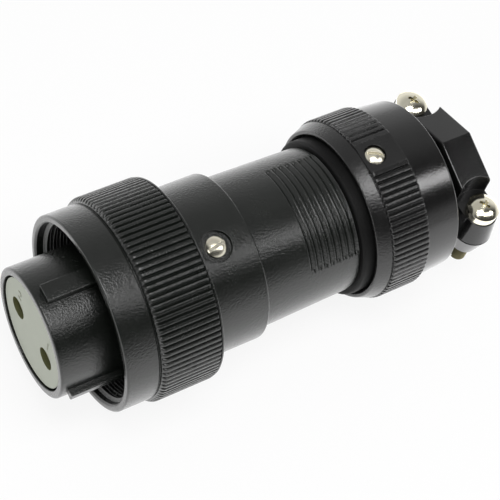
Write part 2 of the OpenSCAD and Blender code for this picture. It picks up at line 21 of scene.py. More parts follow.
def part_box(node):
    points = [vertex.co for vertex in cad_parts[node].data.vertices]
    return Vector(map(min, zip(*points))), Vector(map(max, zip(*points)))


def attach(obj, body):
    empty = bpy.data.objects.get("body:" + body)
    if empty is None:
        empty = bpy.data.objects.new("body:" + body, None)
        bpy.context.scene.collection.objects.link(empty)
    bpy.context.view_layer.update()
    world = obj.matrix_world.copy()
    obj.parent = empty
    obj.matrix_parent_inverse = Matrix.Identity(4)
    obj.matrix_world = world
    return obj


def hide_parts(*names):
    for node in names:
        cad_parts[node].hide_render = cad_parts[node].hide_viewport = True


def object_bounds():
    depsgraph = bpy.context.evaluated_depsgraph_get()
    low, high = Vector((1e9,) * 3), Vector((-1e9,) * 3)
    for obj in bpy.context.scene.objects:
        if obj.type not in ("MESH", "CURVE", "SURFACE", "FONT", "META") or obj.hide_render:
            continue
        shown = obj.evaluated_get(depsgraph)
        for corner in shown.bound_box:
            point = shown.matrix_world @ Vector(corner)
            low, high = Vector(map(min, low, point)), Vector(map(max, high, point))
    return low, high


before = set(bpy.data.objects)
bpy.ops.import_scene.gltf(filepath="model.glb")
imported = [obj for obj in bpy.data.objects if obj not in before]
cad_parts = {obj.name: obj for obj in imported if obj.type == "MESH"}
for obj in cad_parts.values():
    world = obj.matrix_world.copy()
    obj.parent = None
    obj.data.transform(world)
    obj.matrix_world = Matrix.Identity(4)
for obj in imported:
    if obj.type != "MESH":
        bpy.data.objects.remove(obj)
CAD_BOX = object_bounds()

LOG = logging.getLogger("connector")

MM = 0.001
AXIS = Vector((1.0, 0.0, 0.0))
# Distances in millimetres: near points are merged or welded, and a cutter reaches past its piece.
MERGE = 1e-4
WELD = 1e-3
PAST = 1.0
# Facets of round cutters and of rounded corners, and the angle in degrees that makes an edge sharp.
DRUM_SIDES = 64
BAR_SIDES = 96
ARC_STEP = 15.0
SHARP_ANGLE = 25.0
# Half widths of a thread ridge at its sunk foot, at its foot and at its crest, as shares of the pitch.
THREAD_FORM = (0.36, 0.32, 0.08)
THREAD_SINK = 0.08


class Wire:
    """A shader socket that takes part in Python expressions."""

    def __init__(self, tree: bpy.types.NodeTree, socket: bpy.types.NodeSocket) -> None:
        """Keep the socket and the tree that it belongs to."""
        self.tree = tree
        self.socket = socket

    def _math(self, operation: str, first: "Wire | float", second: "Wire | float") -> "Wire":
        """Add one Math node.

        Args:
            operation: Blender's name of the operation.
            first: value or wire on the left.
            second: value or wire on the right.

        Returns:
            The wire that carries the result.
        """
        node = self.tree.nodes.new("ShaderNodeMath")
        node.operation = operation
        for socket, value in zip(node.inputs, (first, second)):
            if isinstance(value, Wire):
                self.tree.links.new(value.socket, socket)
            else:
                socket.default_value = value
        return Wire(self.tree, node.outputs[0])

    def __add__(self, other: "Wire | float") -> "Wire":
        """Sum of two values."""
        return self._math("ADD", self, other)

    def __radd__(self, other: float) -> "Wire":
        """Sum with a number on the left."""
        return self._math("ADD", other, self)

    def __sub__(self, other: "Wire | float") -> "Wire":
        """Difference of two values."""
        return self._math("SUBTRACT", self, other)

    def __rsub__(self, other: float) -> "Wire":
        """Difference from a number on the left."""
        return self._math("SUBTRACT", other, self)

    def __mul__(self, other: "Wire | float") -> "Wire":
        """Product of two values."""
        return self._math("MULTIPLY", self, other)

    def __rmul__(self, other: float) -> "Wire":
        """Product with a number on the left."""
        return self._math("MULTIPLY", other, self)

    def highest(self, other: "Wire | float") -> "Wire":
        """The larger of two values."""
        return self._math("MAXIMUM", self, other)

    def past(self, limit: float) -> "Wire":
        """1 where the value is over a limit, and 0 elsewhere."""
        return self._math("GREATER_THAN", self, limit)

    def size(self) -> "Wire":
        """The value without its sign."""
        return self._math("ABSOLUTE", self, 0.0)


class Graph:
    """The node tree of one material or of the world."""

    noise_roughness = 0.55

    def __init__(self, owner: bpy.types.Material | bpy.types.World) -> None:
        """Empty the owner's tree, so that only named nodes are in it."""
        owner.use_nodes = True
        self.tree = owner.node_tree
        self.tree.nodes.clear()

    def node(self, kind: str, settings: dict[str, Any] | None = None,
             sockets: dict[str, Any] | None = None, output: str | int = 0) -> Wire:
        """Add one node.

        Args:
            kind: Blender's name of the node type.
            settings: properties of the node, set before its sockets.
            sockets: values or wires for its input sockets, by socket name.
            output: which of its outputs to return.

        Returns:
            The wire at the chosen output.
        """
        made = self.tree.nodes.new(kind)
        for key, value in (settings or {}).items():
            setattr(made, key, value)
        for key, value in (sockets or {}).items():
            socket = self._input(made, key)
            if isinstance(value, Wire):
                self.tree.links.new(value.socket, socket)
            else:
                socket.default_value = value
        return Wire(self.tree, made.outputs[output]) if len(made.outputs) else Wire(self.tree, None)

    @staticmethod
    def _input(node: bpy.types.Node, key: str) -> bpy.types.NodeSocket:
        """The enabled input socket of that name."""
        return next(socket for socket in node.inputs if socket.name == key and socket.enabled)

    def noise(self, size_mm: float, detail: float, stretch: Sequence[float] = (1.0, 1.0, 1.0)) -> Wire:
        """Noise in the object's own space.

        Args:
            size_mm: size of one speck.
            detail: number of finer layers.
            stretch: factor on each axis, where a small one draws specks out.

        Returns:
            The wire of its value.
        """
        place = self.node("ShaderNodeTexCoord", output="Object")
        mapped = self.node("ShaderNodeMapping", sockets={"Vector": place, "Scale": tuple(stretch)})
        return self.node("ShaderNodeTexNoise", sockets={
            "Vector": mapped, "Scale": 1.0 / (size_mm * MM), "Detail": detail,
            "Roughness": self.noise_roughness})

    def join(self, kind: str, first: Wire, second: Wire, sockets: dict[str, Any] | None = None) -> Wire:
        """Mix or add two shaders.

        Args:
            kind: Blender's name of the node type.
            first: first shader.
            second: second shader.
            sockets: values or wires for its other sockets.

        Returns:
            The wire of the joined shader.
        """
        made = self.node(kind, None, sockets)
        slots = [socket for socket in made.socket.node.inputs if socket.type == "SHADER"]
        for socket, shader in zip(slots, (first, second)):
            self.tree.links.new(shader.socket, socket)
        return made

    def place(self, axis: str) -> Wire:
        """Place along one axis of the object's own space, in metres."""
        point = self.node("ShaderNodeTexCoord", output="Object")
        return self.node("ShaderNodeSeparateXYZ", None, {"Vector": point}, axis)

    def fade(self, value: Wire, start: float, end: float) -> Wire:
        """Soft step.

        Args:
            value: wire that it follows.
            start: value where it is 0.
            end: value where it is 1.

        Returns:
            The wire of the step.
        """
        lowest, highest, rising = min(start, end), max(start, end), start < end
        return self.node("ShaderNodeMapRange", {"interpolation_type": "SMOOTHSTEP"}, {
            "Value": value, "From Min": lowest, "From Max": highest,
            "To Min": 0.0 if rising else 1.0, "To Max": 1.0 if rising else 0.0})

    def blend(self, share: Wire, first: Any, second: Any) -> Wire:
        """Mix two colours.

        Args:
            share: share of the second colour.
            first: wire or plain colour.
            second: wire or plain colour.

        Returns:
            The wire of the mixed colour.
        """
        ends = [end if isinstance(end, Wire) else (*end, 1.0) for end in (first, second)]
        sockets = {"Factor": share, "A": ends[0], "B": ends[1]}
        return self.node("ShaderNodeMix", {"data_type": "RGBA"}, sockets, "Result")


class Slot(Enum):
    """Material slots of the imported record."""

    BLACK = "black_moulding"
    INSERT = "grey_insert"
    RUBBER = "seal_rubber"
    BRASS = "contact_brass"
    NICKEL = "nickel_screw"
    STEEL = "spring_steel"


@dataclass(frozen=True)
class Finish:
    """A surface with a colour that drifts, a roughness that drifts and a fine grain.

    Attributes:
        name: name of the material.
        slot: record slot that it belongs to; not used.
        colour: linear base colour.
        shade: linear colour in its darker patches.
        roughness: roughness of the smoothest patches.
        drift: what the roughest patches add.
        metallic: 0 for plastic and rubber, 1 for metal.
        grain_mm: size of the grain's specks.
        grain_depth_mm: depth of the grain.
        edge_mm: radius to which sharp edges seem worn.
        stretch: how the grain is drawn out along the axes.
        specular: level of the reflection on a non-metal.
        grain_detail: finer layers of the grain.
        patch_mm: size of the patches.
        patch_detail: finer layers of the patches.
        wear_samples: samples of the worn edges.
    """

    name: str
    slot: Slot
    colour: tuple[float, float, float]
    shade: tuple[float, float, float]
    roughness: float
    drift: float
    metallic: float = 0.0
    grain_mm: float = 0.3
    grain_depth_mm: float = 0.01
    edge_mm: float = 0.12
    stretch: tuple[float, float, float] = (1.0, 1.0, 1.0)
    specular: float = 0.5
    grain_detail: float = 2.0
    patch_mm: float = 2.5
    patch_detail: float = 3.0
    wear_samples: int = 6

    def material(self) -> bpy.types.Material:
        """The material, made when it is first asked for."""
        return bpy.data.materials.get(self.name) or self._make()

    def _tint(self, graph: Graph, patches: Wire) -> Wire:
        """Base colour, drifting between the finish's two colours."""
        return graph.blend(patches, self.shade, self.colour)

    def _gloss(self, graph: Graph, patches: Wire) -> Wire:
        """Roughness, drifting with the patches."""
        return self.roughness + self.drift * patches

    def _grain(self, graph: Graph) -> Wire:
        """Height of the fine grain."""
        return graph.noise(self.grain_mm, self.grain_detail, self.stretch)

    def _make(self) -> bpy.types.Material:
        """Build the material's nodes.

        Returns:
            The new material.
        """
        made = bpy.data.materials.new(self.name)
        graph = Graph(made)
        patches = graph.noise(self.patch_mm, self.patch_detail)
        worn = graph.node("ShaderNodeBevel", {"samples": self.wear_samples},
                          {"Radius": self.edge_mm * MM})
        bump = graph.node("ShaderNodeBump", None, {
            "Height": self._grain(graph), "Distance": self.grain_depth_mm * MM, "Strength": 1.0,
            "Normal": worn})
        shader = graph.node("ShaderNodeBsdfPrincipled", None, {
            "Base Color": self._tint(graph, patches),
            "Roughness": self._gloss(graph, patches),
            "Metallic": self.metallic,
            "Specular IOR Level": self.specular,
            "Normal": bump,
        })
        graph.node("ShaderNodeOutputMaterial", None, {"Surface": shader})
        return made


@dataclass(frozen=True)
class PartPolishedFinish(Finish):
    """A grained finish that turns smooth past one station.

    Attributes:
        polish_x: station where the smooth part starts.
        polish: roughness that the smooth part lacks.
        polished_grain: share of the grain that is left there.
    """

    polish_x: float = 0.0
    polish: float = 0.0
    polished_grain: float = 1.0

    def _smooth(self, graph: Graph) -> Wire:
        """1 on the smooth part, and 0 elsewhere."""
        return graph.place("X").past(self.polish_x * MM)

    def _gloss(self, graph: Graph, patches: Wire) -> Wire:
        """Roughness, lower on the smooth part."""
        return super()._gloss(graph, patches) - self.polish * self._smooth(graph)

    def _grain(self, graph: Graph) -> Wire:
        """Height of the grain, lower on the smooth part."""
        return super()._grain(graph) * (1.0 - (1.0 - self.polished_grain) * self._smooth(graph))


@dataclass(frozen=True)
class HoleShadeFinish(Finish):
    """A finish with painted shade in its two contact holes.

    Attributes:
        well_y: distance of the holes from the axis.
        well_r: radius of the holes.
        hole_shade_colour: linear colour of the painted shade inside the holes.
    """

    well_y: float = 5.05
    well_r: float = 2.0
    # Painted shade, tinted olive, inside the contact holes.
    hole_shade_colour: tuple[float, float, float] = (0.10, 0.105, 0.05)

    def _tint(self, graph: Graph, patches: Wire) -> Wire:
        """Base colour, with painted shade inside the holes."""
        across = graph.place("Y").size() - self.well_y * MM
        up = graph.place("Z")
        outside = (across * across + up * up).past((self.well_r * MM) ** 2)
        return graph.blend(outside, self.hole_shade_colour, super()._tint(graph, patches))


MOULDING = Finish(
    "satin_black_moulding", Slot.BLACK, (0.0065, 0.008, 0.0065), (0.0035, 0.0045, 0.0035), 0.22, 0.08,
    grain_mm=0.34, grain_depth_mm=0.06)
BELL_MOULDING = PartPolishedFinish(
    "bell_black_moulding", Slot.BLACK, (0.008, 0.008, 0.0078), (0.0045, 0.0045, 0.0045), 0.22, 0.08,
    grain_mm=0.34, grain_depth_mm=0.06, polish_x=67.45, polish=0.08, polished_grain=0.3)
SMOOTH_MOULDING = Finish(
    "smooth_black_moulding", Slot.BLACK, (0.009, 0.009, 0.009), (0.005, 0.005, 0.005), 0.15, 0.06,
    grain_mm=0.4, grain_depth_mm=0.014)
INSERT = HoleShadeFinish(
    "grey_green_insert", Slot.INSERT, (0.41, 0.43, 0.37), (0.37, 0.39, 0.33), 0.55, 0.12,
    grain_mm=0.25, grain_depth_mm=0.006, specular=0.15)
NUMERAL = Finish(
    "moulded_numeral", Slot.INSERT, (0.19, 0.20, 0.14), (0.15, 0.16, 0.11), 0.45, 0.1,
    grain_mm=0.2, grain_depth_mm=0.004)
RUBBER = Finish(
    "black_rubber", Slot.RUBBER, (0.006, 0.006, 0.006), (0.003, 0.003, 0.003), 0.5, 0.15,
    grain_mm=0.2, grain_depth_mm=0.008, specular=0.12)
BRASS = Finish(
    "turned_brass", Slot.BRASS, (0.62, 0.50, 0.22), (0.50, 0.40, 0.17), 0.28, 0.12, metallic=1.0,
    grain_mm=0.12, grain_depth_mm=0.003, stretch=(3.0, 1.0, 1.0))
NICKEL = Finish(
    "bright_nickel", Slot.NICKEL, (0.86, 0.83, 0.71), (0.76, 0.72, 0.56), 0.11, 0.07, metallic=1.0,
    grain_mm=0.5, grain_depth_mm=0.006, edge_mm=0.08)
DULL_NICKEL = Finish(
    "dull_nickel", Slot.NICKEL, (0.82, 0.79, 0.68), (0.72, 0.68, 0.54), 0.2, 0.1, metallic=1.0,
    grain_mm=0.4, grain_depth_mm=0.008, edge_mm=0.1)
# Thread of the clamp screws: the nickel darkened to a dull olive as painted shade, with a higher
# roughness.
THREAD = Finish(
    "dull_shaded_thread", Slot.NICKEL, (0.20, 0.185, 0.11), (0.12, 0.11, 0.06), 0.42, 0.15, metallic=1.0,
    grain_mm=0.12, grain_depth_mm=0.006)
STEEL = Finish(
    "plain_steel", Slot.STEEL, (0.52, 0.53, 0.54), (0.44, 0.45, 0.46), 0.30, 0.12, metallic=1.0,
    grain_mm=0.15, grain_depth_mm=0.003)


@dataclass(frozen=True)
class Corner:
    """One corner of an outline that is spun about the axis.

    Attributes:
        x: station along the axis.
        r: distance from the axis.
        round: radius of the rounded corner.
    """

    x: float
    r: float
    round: float = 0.0


def rounded_outline(corners: Sequence[Corner], closed: bool) -> list[Vector]:
    """Turn corners into points, with an arc at each rounded one.

    Args:
        corners: corners in order.
        closed: whether the last corner joins the first.

    Returns:
        Points as (x, r) in millimetres.
    """
    places = [Vector((corner.x, corner.r)) for corner in corners]
    points: list[Vector] = []
    for i, corner in enumerate(corners):
        at_end = not closed and i in (0, len(corners) - 1)
        if corner.round <= 0.0 or at_end:
            points.append(places[i])
            continue
        back = (places[i - 1] - places[i]).normalized()
        ahead = (places[(i + 1) % len(places)] - places[i]).normalized()
        half = back.angle(ahead) / 2.0
        middle = (back + ahead).normalized()
        centre = places[i] + middle * (corner.round / math.sin(half))
        start = places[i] + back * (corner.round / math.tan(half)) - centre
        end = places[i] + ahead * (corner.round / math.tan(half)) - centre
        turn = start.angle_signed(end)
        steps = max(3, round(abs(math.degrees(turn)) / ARC_STEP))
        for k in range(steps + 1):
            angle = -turn * k / steps
            arm = Vector((start.x * math.cos(angle) - start.y * math.sin(angle),
                          start.x * math.sin(angle) + start.y * math.cos(angle)))
            points.append(centre + arm)
    return points


def add_wire(bm: BMesh, points: Sequence[Vector], closed: bool) -> list[BMVert]:
    """Draw an outline in the half plane above the axis.

    Args:
        bm: mesh that takes the wire.
        points: points as (x, r) in millimetres.
        closed: whether the last point joins the first.

    Returns:
        The wire's vertices.
    """
    verts = [bm.verts.new((point.x * MM, 0.0, point.y * MM)) for point in points]
    for first, second in zip(verts, verts[1:]):
        bm.edges.new((first, second))
    if closed:
        bm.edges.new((verts[-1], verts[0]))
    return verts


def tidy(bm: BMesh) -> BMesh:
    """Merge doubles and point every face outwards."""
    bmesh.ops.remove_doubles(bm, verts=bm.verts, dist=MERGE * MM)
    bmesh.ops.recalc_face_normals(bm, faces=bm.faces)
    return bm


def spun(corners: Sequence[Corner], steps: int = 144, closed: bool = True) -> BMesh:
    """Spin an outline about the connector's axis.

    Args:
        corners: corners of the outline.
        steps: number of steps around.
        closed: whether the outline is a ring; an open one starts and ends on the axis.

    Returns:
        The closed mesh.
    """
    bm = bmesh.new()
    verts = add_wire(bm, rounded_outline(corners, closed), closed)
    bmesh.ops.spin(bm, geom=verts + bm.edges[:], cent=(0, 0, 0), axis=AXIS, dvec=(0, 0, 0),
                   angle=math.tau, steps=steps, use_merge=True, use_duplicate=False)
    return tidy(bm)


def cap(edge_x: float, edge_r: float, top: float, steps: int = 6) -> list[Corner]:
    """Corners along a domed end.

    Args:
        edge_x: station of the dome's edge.
        edge_r: radius of the dome's edge.
        top: station of the dome's top.
        steps: number of steps.

    Returns:
        The corners from the edge to the axis.
    """
    rise = top - edge_x
    radius = (edge_r ** 2 + rise ** 2) / (2.0 * rise)
    spread = math.asin(edge_r / radius)
    angles = [spread * (1.0 - k / steps) for k in range(steps + 1)]
    return [Corner(top - radius + radius * math.cos(angle), radius * math.sin(angle))
            for angle in angles]


def rotated(bm: BMesh, matrix: Matrix) -> BMesh:
    """Rotate a whole mesh about the origin."""
    bmesh.ops.rotate(bm, verts=bm.verts, cent=(0, 0, 0), matrix=matrix)
    return bm


def turned_up(bm: BMesh) -> BMesh:
    """Stand a mesh that was spun about X upright on Z."""
    return rotated(bm, Matrix.Rotation(-math.pi / 2, 3, "Y"))


def turned(bm: BMesh, degrees: float) -> BMesh:
    """Turn a whole mesh about Z."""
    return rotated(bm, Matrix.Rotation(math.radians(degrees), 3, "Z"))


def rolled(degrees: float) -> Matrix:
    """Roll about the axis that turns the top towards the viewer's side."""
    return Matrix.Rotation(math.radians(degrees), 3, "X")


def move(bm: BMesh, x: float, y: float, z: float) -> BMesh:
    """Shift a whole mesh by millimetres."""
    bmesh.ops.translate(bm, verts=bm.verts, vec=Vector((x, y, z)) * MM)
    return bm


def drum(radius: float, low: float, high: float, at: tuple[float, float] = (0.0, 0.0),
         top_radius: float | None = None) -> BMesh:
    """Round bar or cone that stands on Z.

    Args:
        radius: radius at its low end.
        low: height of its low end.
        high: height of its high end.
        at: place of its axis, as (x, y).
        top_radius: radius at its high end, where it differs.

    Returns:
        The closed mesh.
    """
    bm = bmesh.new()
    top = radius if top_radius is None else top_radius
    bmesh.ops.create_cone(bm, cap_ends=True, segments=DRUM_SIDES, radius1=radius * MM, radius2=top * MM,
                          depth=(high - low) * MM)
    return move(bm, *at, (low + high) / 2.0)


def bar(radius: float, x0: float, x1: float) -> BMesh:
    """Round bar along the axis, between two stations."""
    outline = [Corner(x0, 0.0), Corner(x0, radius), Corner(x1, radius), Corner(x1, 0.0)]
    return spun(outline, BAR_SIDES, closed=False)


def prism(outline: Sequence[tuple[float, float]], x0: float, x1: float) -> BMesh:
    """Extrude an outline along the axis.

    Args:
        outline: points as (y, z).
        x0: station of the front face.
        x1: station of the rear face.

    Returns:
        The closed mesh.
    """
    bm = bmesh.new()
    front = bm.faces.new([bm.verts.new((x0 * MM, y * MM, z * MM)) for y, z in outline])
    grown = bmesh.ops.extrude_face_region(bm, geom=[front], use_keep_orig=True)
    moved = [item for item in grown["geom"] if isinstance(item, BMVert)]
    bmesh.ops.translate(bm, verts=moved, vec=AXIS * ((x1 - x0) * MM))
    return tidy(bm)


def slab(half: float, low: float, high: float, x0: float, x1: float) -> BMesh:
    """Block of a half width, between two heights and two stations."""
    return prism([(-half, low), (half, low), (half, high), (-half, high)], x0, x1)


def bevel_where(bm: BMesh, width: float, test: Callable[[BMEdge], bool],
                segments: int = 3) -> BMesh:
    """Round the edges that pass a test.

    Args:
        bm: mesh to work on.
        width: width of the rounding.
        test: says whether an edge is rounded.
        segments: number of facets across.

    Returns:
        The same mesh.
    """
    edges = [edge for edge in bm.edges if test(edge)]
    bmesh.ops.bevel(bm, geom=edges, offset=width * MM, offset_type="OFFSET", affect="EDGES",
                    segments=segments, profile=0.5, material=-1, clamp_overlap=True)
    return bm


def is_sharp(edge: BMEdge) -> bool:
    """Whether an edge's two faces meet at more than SHARP_ANGLE."""
    return len(edge.link_faces) == 2 and edge.calc_face_angle() > math.radians(SHARP_ANGLE)


def helix(minor: float, major: float, pitch: float, start: float, length: float, inside: bool,
          steps: int) -> BMesh:
    """Thread ridge that winds about the axis.

    Args:
        minor: radius at the small diameter.
        major: radius at the large diameter.
        pitch: advance of one turn.
        start: station of the first turn.
        length: length of the thread.
        inside: whether the crests point to the axis.
        steps: steps of one turn.

    Returns:
        The closed mesh.
    """
    foot, crest = (major, minor) if inside else (minor, major)
    sunk = foot + (THREAD_SINK if inside else -THREAD_SINK)
    flank = list(zip(THREAD_FORM, (sunk, foot, crest)))
    section = [Vector((-share * pitch, radius)) for share, radius in flank]
    section += [Vector((share * pitch, radius)) for share, radius in reversed(flank)]
    turns = length / pitch
    count = round(turns * steps)
    bm = bmesh.new()
    verts = add_wire(bm, [point + Vector((start, 0.0)) for point in section], True)
    bmesh.ops.contextual_create(bm, geom=verts)
    bmesh.ops.spin(bm, geom=verts + bm.edges[:] + bm.faces[:], cent=(0, 0, 0), axis=AXIS,
                   dvec=AXIS * (length * MM / count), angle=math.tau * turns, steps=count,
                   use_merge=False, use_duplicate=False)
    return tidy(bm)


@dataclass(frozen=True)
class OnWell:
    """Test for the rim of a round well or lug that stands on Z.

    Attributes:
        centre: place of its axis, as (x, y).
        radius: its radius.
        above: height above which its rim lies.
        slack: how far a point may lie off the radius.
    """

    centre: tuple[float, float]
    radius: float
    above: float
    slack: float = 0.02

    def __call__(self, edge: BMEdge) -> bool:
        """Whether an edge lies on the rim."""
        return is_sharp(edge) and all(self._holds(vert.co / MM) for vert in edge.verts)

    def _holds(self, point: Vector) -> bool:
        """Whether a point lies on the wall, near its rim."""
        reach = math.hypot(point.x - self.centre[0], point.y - self.centre[1])
        return abs(reach - self.radius) < self.slack and point.z > self.above


class Piece:
    """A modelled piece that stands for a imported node."""

    def __init__(self, name: str, bm: BMesh) -> None:
        """Make the object from a mesh.

        Args:
            name: name of the piece.
            bm: mesh, which is freed.
        """
        mesh = bpy.data.meshes.new(name)
        bm.to_mesh(mesh)
        bm.free()
        self.object = bpy.data.objects.new(name, mesh)
        bpy.context.scene.collection.objects.link(self.object)

    def _boolean(self, bm: BMesh, operation: str) -> None:
        """Combine the piece with another closed mesh.

        Args:
            bm: the other mesh, which is freed.
            operation: Blender's name of the operation.
        """
        tool = Piece("tool", bm).object
        modifier = self.object.modifiers.new("combine", "BOOLEAN")
        modifier.operation = operation
        modifier.solver = "EXACT"
        modifier.object = tool
        graph = bpy.context.evaluated_depsgraph_get()
        made = bpy.data.meshes.new_from_object(self.object.evaluated_get(graph))
        self.object.modifiers.clear()
        old = self.object.data
        made.name = old.name
        self.object.data = made
        bpy.data.meshes.remove(old)
        spare = tool.data
        bpy.data.objects.remove(tool)
        bpy.data.meshes.remove(spare)

    def cut(self, bm: BMesh) -> None:
        """Cut a closed mesh out of the piece."""
        self._boolean(bm, "DIFFERENCE")

    def add(self, bm: BMesh) -> None:
        """Fuse a closed mesh with the piece."""
        self._boolean(bm, "UNION")

    def join(self, bm: BMesh) -> None:
        """Put a closed mesh beside the piece's own in one object.

        Args:
            bm: the other mesh, which is freed.
        """
        spare = bpy.data.meshes.new("spare")
        bm.to_mesh(spare)
        bm.free()
        both = bmesh.new()
        both.from_mesh(self.object.data)
        both.from_mesh(spare)
        both.to_mesh(self.object.data)
        both.free()
        bpy.data.meshes.remove(spare)

    def soften(self, width: float, test: Callable[[BMEdge], bool]) -> None:
        """Round the piece's edges that pass a test.

        Args:
            width: width of the rounding.
            test: says whether an edge is rounded.
        """
        bm = bmesh.new()
        bm.from_mesh(self.object.data)
        bmesh.ops.remove_doubles(bm, verts=bm.verts, dist=WELD * MM)
        bevel_where(bm, width, test, segments=2)
        bm.to_mesh(self.object.data)
        bm.free()

    def dress(self, finish: Finish, body: str, node: str | None = None, crease: float = 35.0) -> None:
        """Give the piece its finish and its place in the frame.

        Args:
            finish: surface of the piece.
            body: body that it rides on.
            node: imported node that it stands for.
            crease: angle past which an edge looks sharp.
        """
        mesh = self.object.data
        mesh.materials.clear()
        mesh.materials.append(finish.material())
        mesh.shade_smooth()
        mesh.set_sharp_from_angle(angle=math.radians(crease))
        even = self.object.modifiers.new("even_faces", "WEIGHTED_NORMAL")
        even.keep_sharp = True
        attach(self.object, body)
        if node:
            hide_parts(node)
        LOG.info("%s: %d faces on %s", self.object.name, len(mesh.polygons), body)


@dataclass(frozen=True)
class Span:
    """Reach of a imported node, in millimetres.

    Attributes:
        low: lowest corner.
        high: highest corner.
    """

    low: Vector
    high: Vector

    @classmethod
    def of(cls, node: str) -> "Span":
        """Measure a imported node."""
        low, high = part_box(node)
        return cls(low / MM, high / MM)

    @property
    def radius(self) -> float:
        """Largest reach across the axis."""
        return max(self.high.y, self.high.z, -self.low.y, -self.low.z)

    @property
    def centre(self) -> Vector:
        """Middle of the node."""
        return (self.low + self.high) / 2.0


@dataclass(frozen=True)
class Ribs:
    """Moulded grip ribs around a turned piece.

    Attributes:
        count: number of ribs.
        floor: radius of the grooves' floor.
        start: station where the ribs start.
        end: station where they end.
        bare: half angle at the top that stays smooth.
        depth_at: share of the full depth at each step across one rib.
    """

    count: int
    floor: float
    start: float
    end: float
    bare: float = 0.0
    depth_at: tuple[float, ...] = (0.0, 0.0, 0.06, 0.6, 1.0, 0.6, 0.06, 0.0)

    @property
    def steps(self) -> int:
        """Steps around that give each rib the same depths."""
        return self.count * len(self.depth_at)

    def press(self, bm: BMesh) -> None:
        """Press the grooves into a spun mesh.

        Args:
            bm: mesh that was spun with as many steps as the ribs ask for.
        """
        for vert in bm.verts:
            radius = math.hypot(vert.co.y, vert.co.z) / MM
            if radius <= self.floor or not self.start <= vert.co.x / MM <= self.end:
                continue
            angle = math.degrees(math.atan2(-vert.co.y, vert.co.z))
            if abs(angle) < self.bare:
                continue
            step = round(angle / 360.0 * self.steps) % len(self.depth_at)
            wanted = radius - (radius - self.floor) * self.depth_at[step]
            vert.co.y *= wanted / radius
            vert.co.z *= wanted / radius


@dataclass(frozen=True)
class SetScrew:
    """Slotted set screw with a domed head.

    Attributes:
        node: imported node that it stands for.
        station: station of its axis.
        angle: angle of its axis from the top.
        tip: distance of its tip from the connector's axis.
        seat: distance of its head's seat from the connector's axis.
        turn: turn of its slot.
        head_d: diameter of the head.
        head_h: height of the head.
        dome_h: height of the head's dome.
        head_round: rounding under the head.
        shank_d: diameter of the thread.
        tip_round: rounding of the tip.
        slot_w: width of the slot.
        slot_h: depth of the slot.
    """

    node: str
    station: float
    angle: float
    tip: float
    seat: float
    turn: float
    head_d: float = 3.6
    head_h: float = 1.2
    dome_h: float = 0.7
    head_round: float = 0.12
    shank_d: float = 2.0
    tip_round: float = 0.2
    slot_w: float = 0.6
    slot_h: float = 0.6

    def build(self) -> None:
        """Build and dress the screw."""
        head_r, shank_r, top = self.head_d / 2, self.shank_d / 2, self.seat + self.head_h
        piece = Piece(self.node + "_turned", turned_up(spun([
            Corner(self.tip, 0.0), Corner(self.tip, shank_r, self.tip_round), Corner(self.seat, shank_r),
            Corner(self.seat, head_r, self.head_round), *cap(top - self.dome_h, head_r, top),
        ], steps=64, closed=False)))
        slot = slab(self.slot_w / 2, top - self.slot_h, top + PAST, -self.head_d, self.head_d)
        piece.cut(turned(slot, self.turn))
        place = Matrix.Translation(AXIS * self.station * MM)
        piece.object.data.transform(rolled(self.angle).to_4x4() @ place)
        piece.dress(DULL_NICKEL, "housing", self.node)


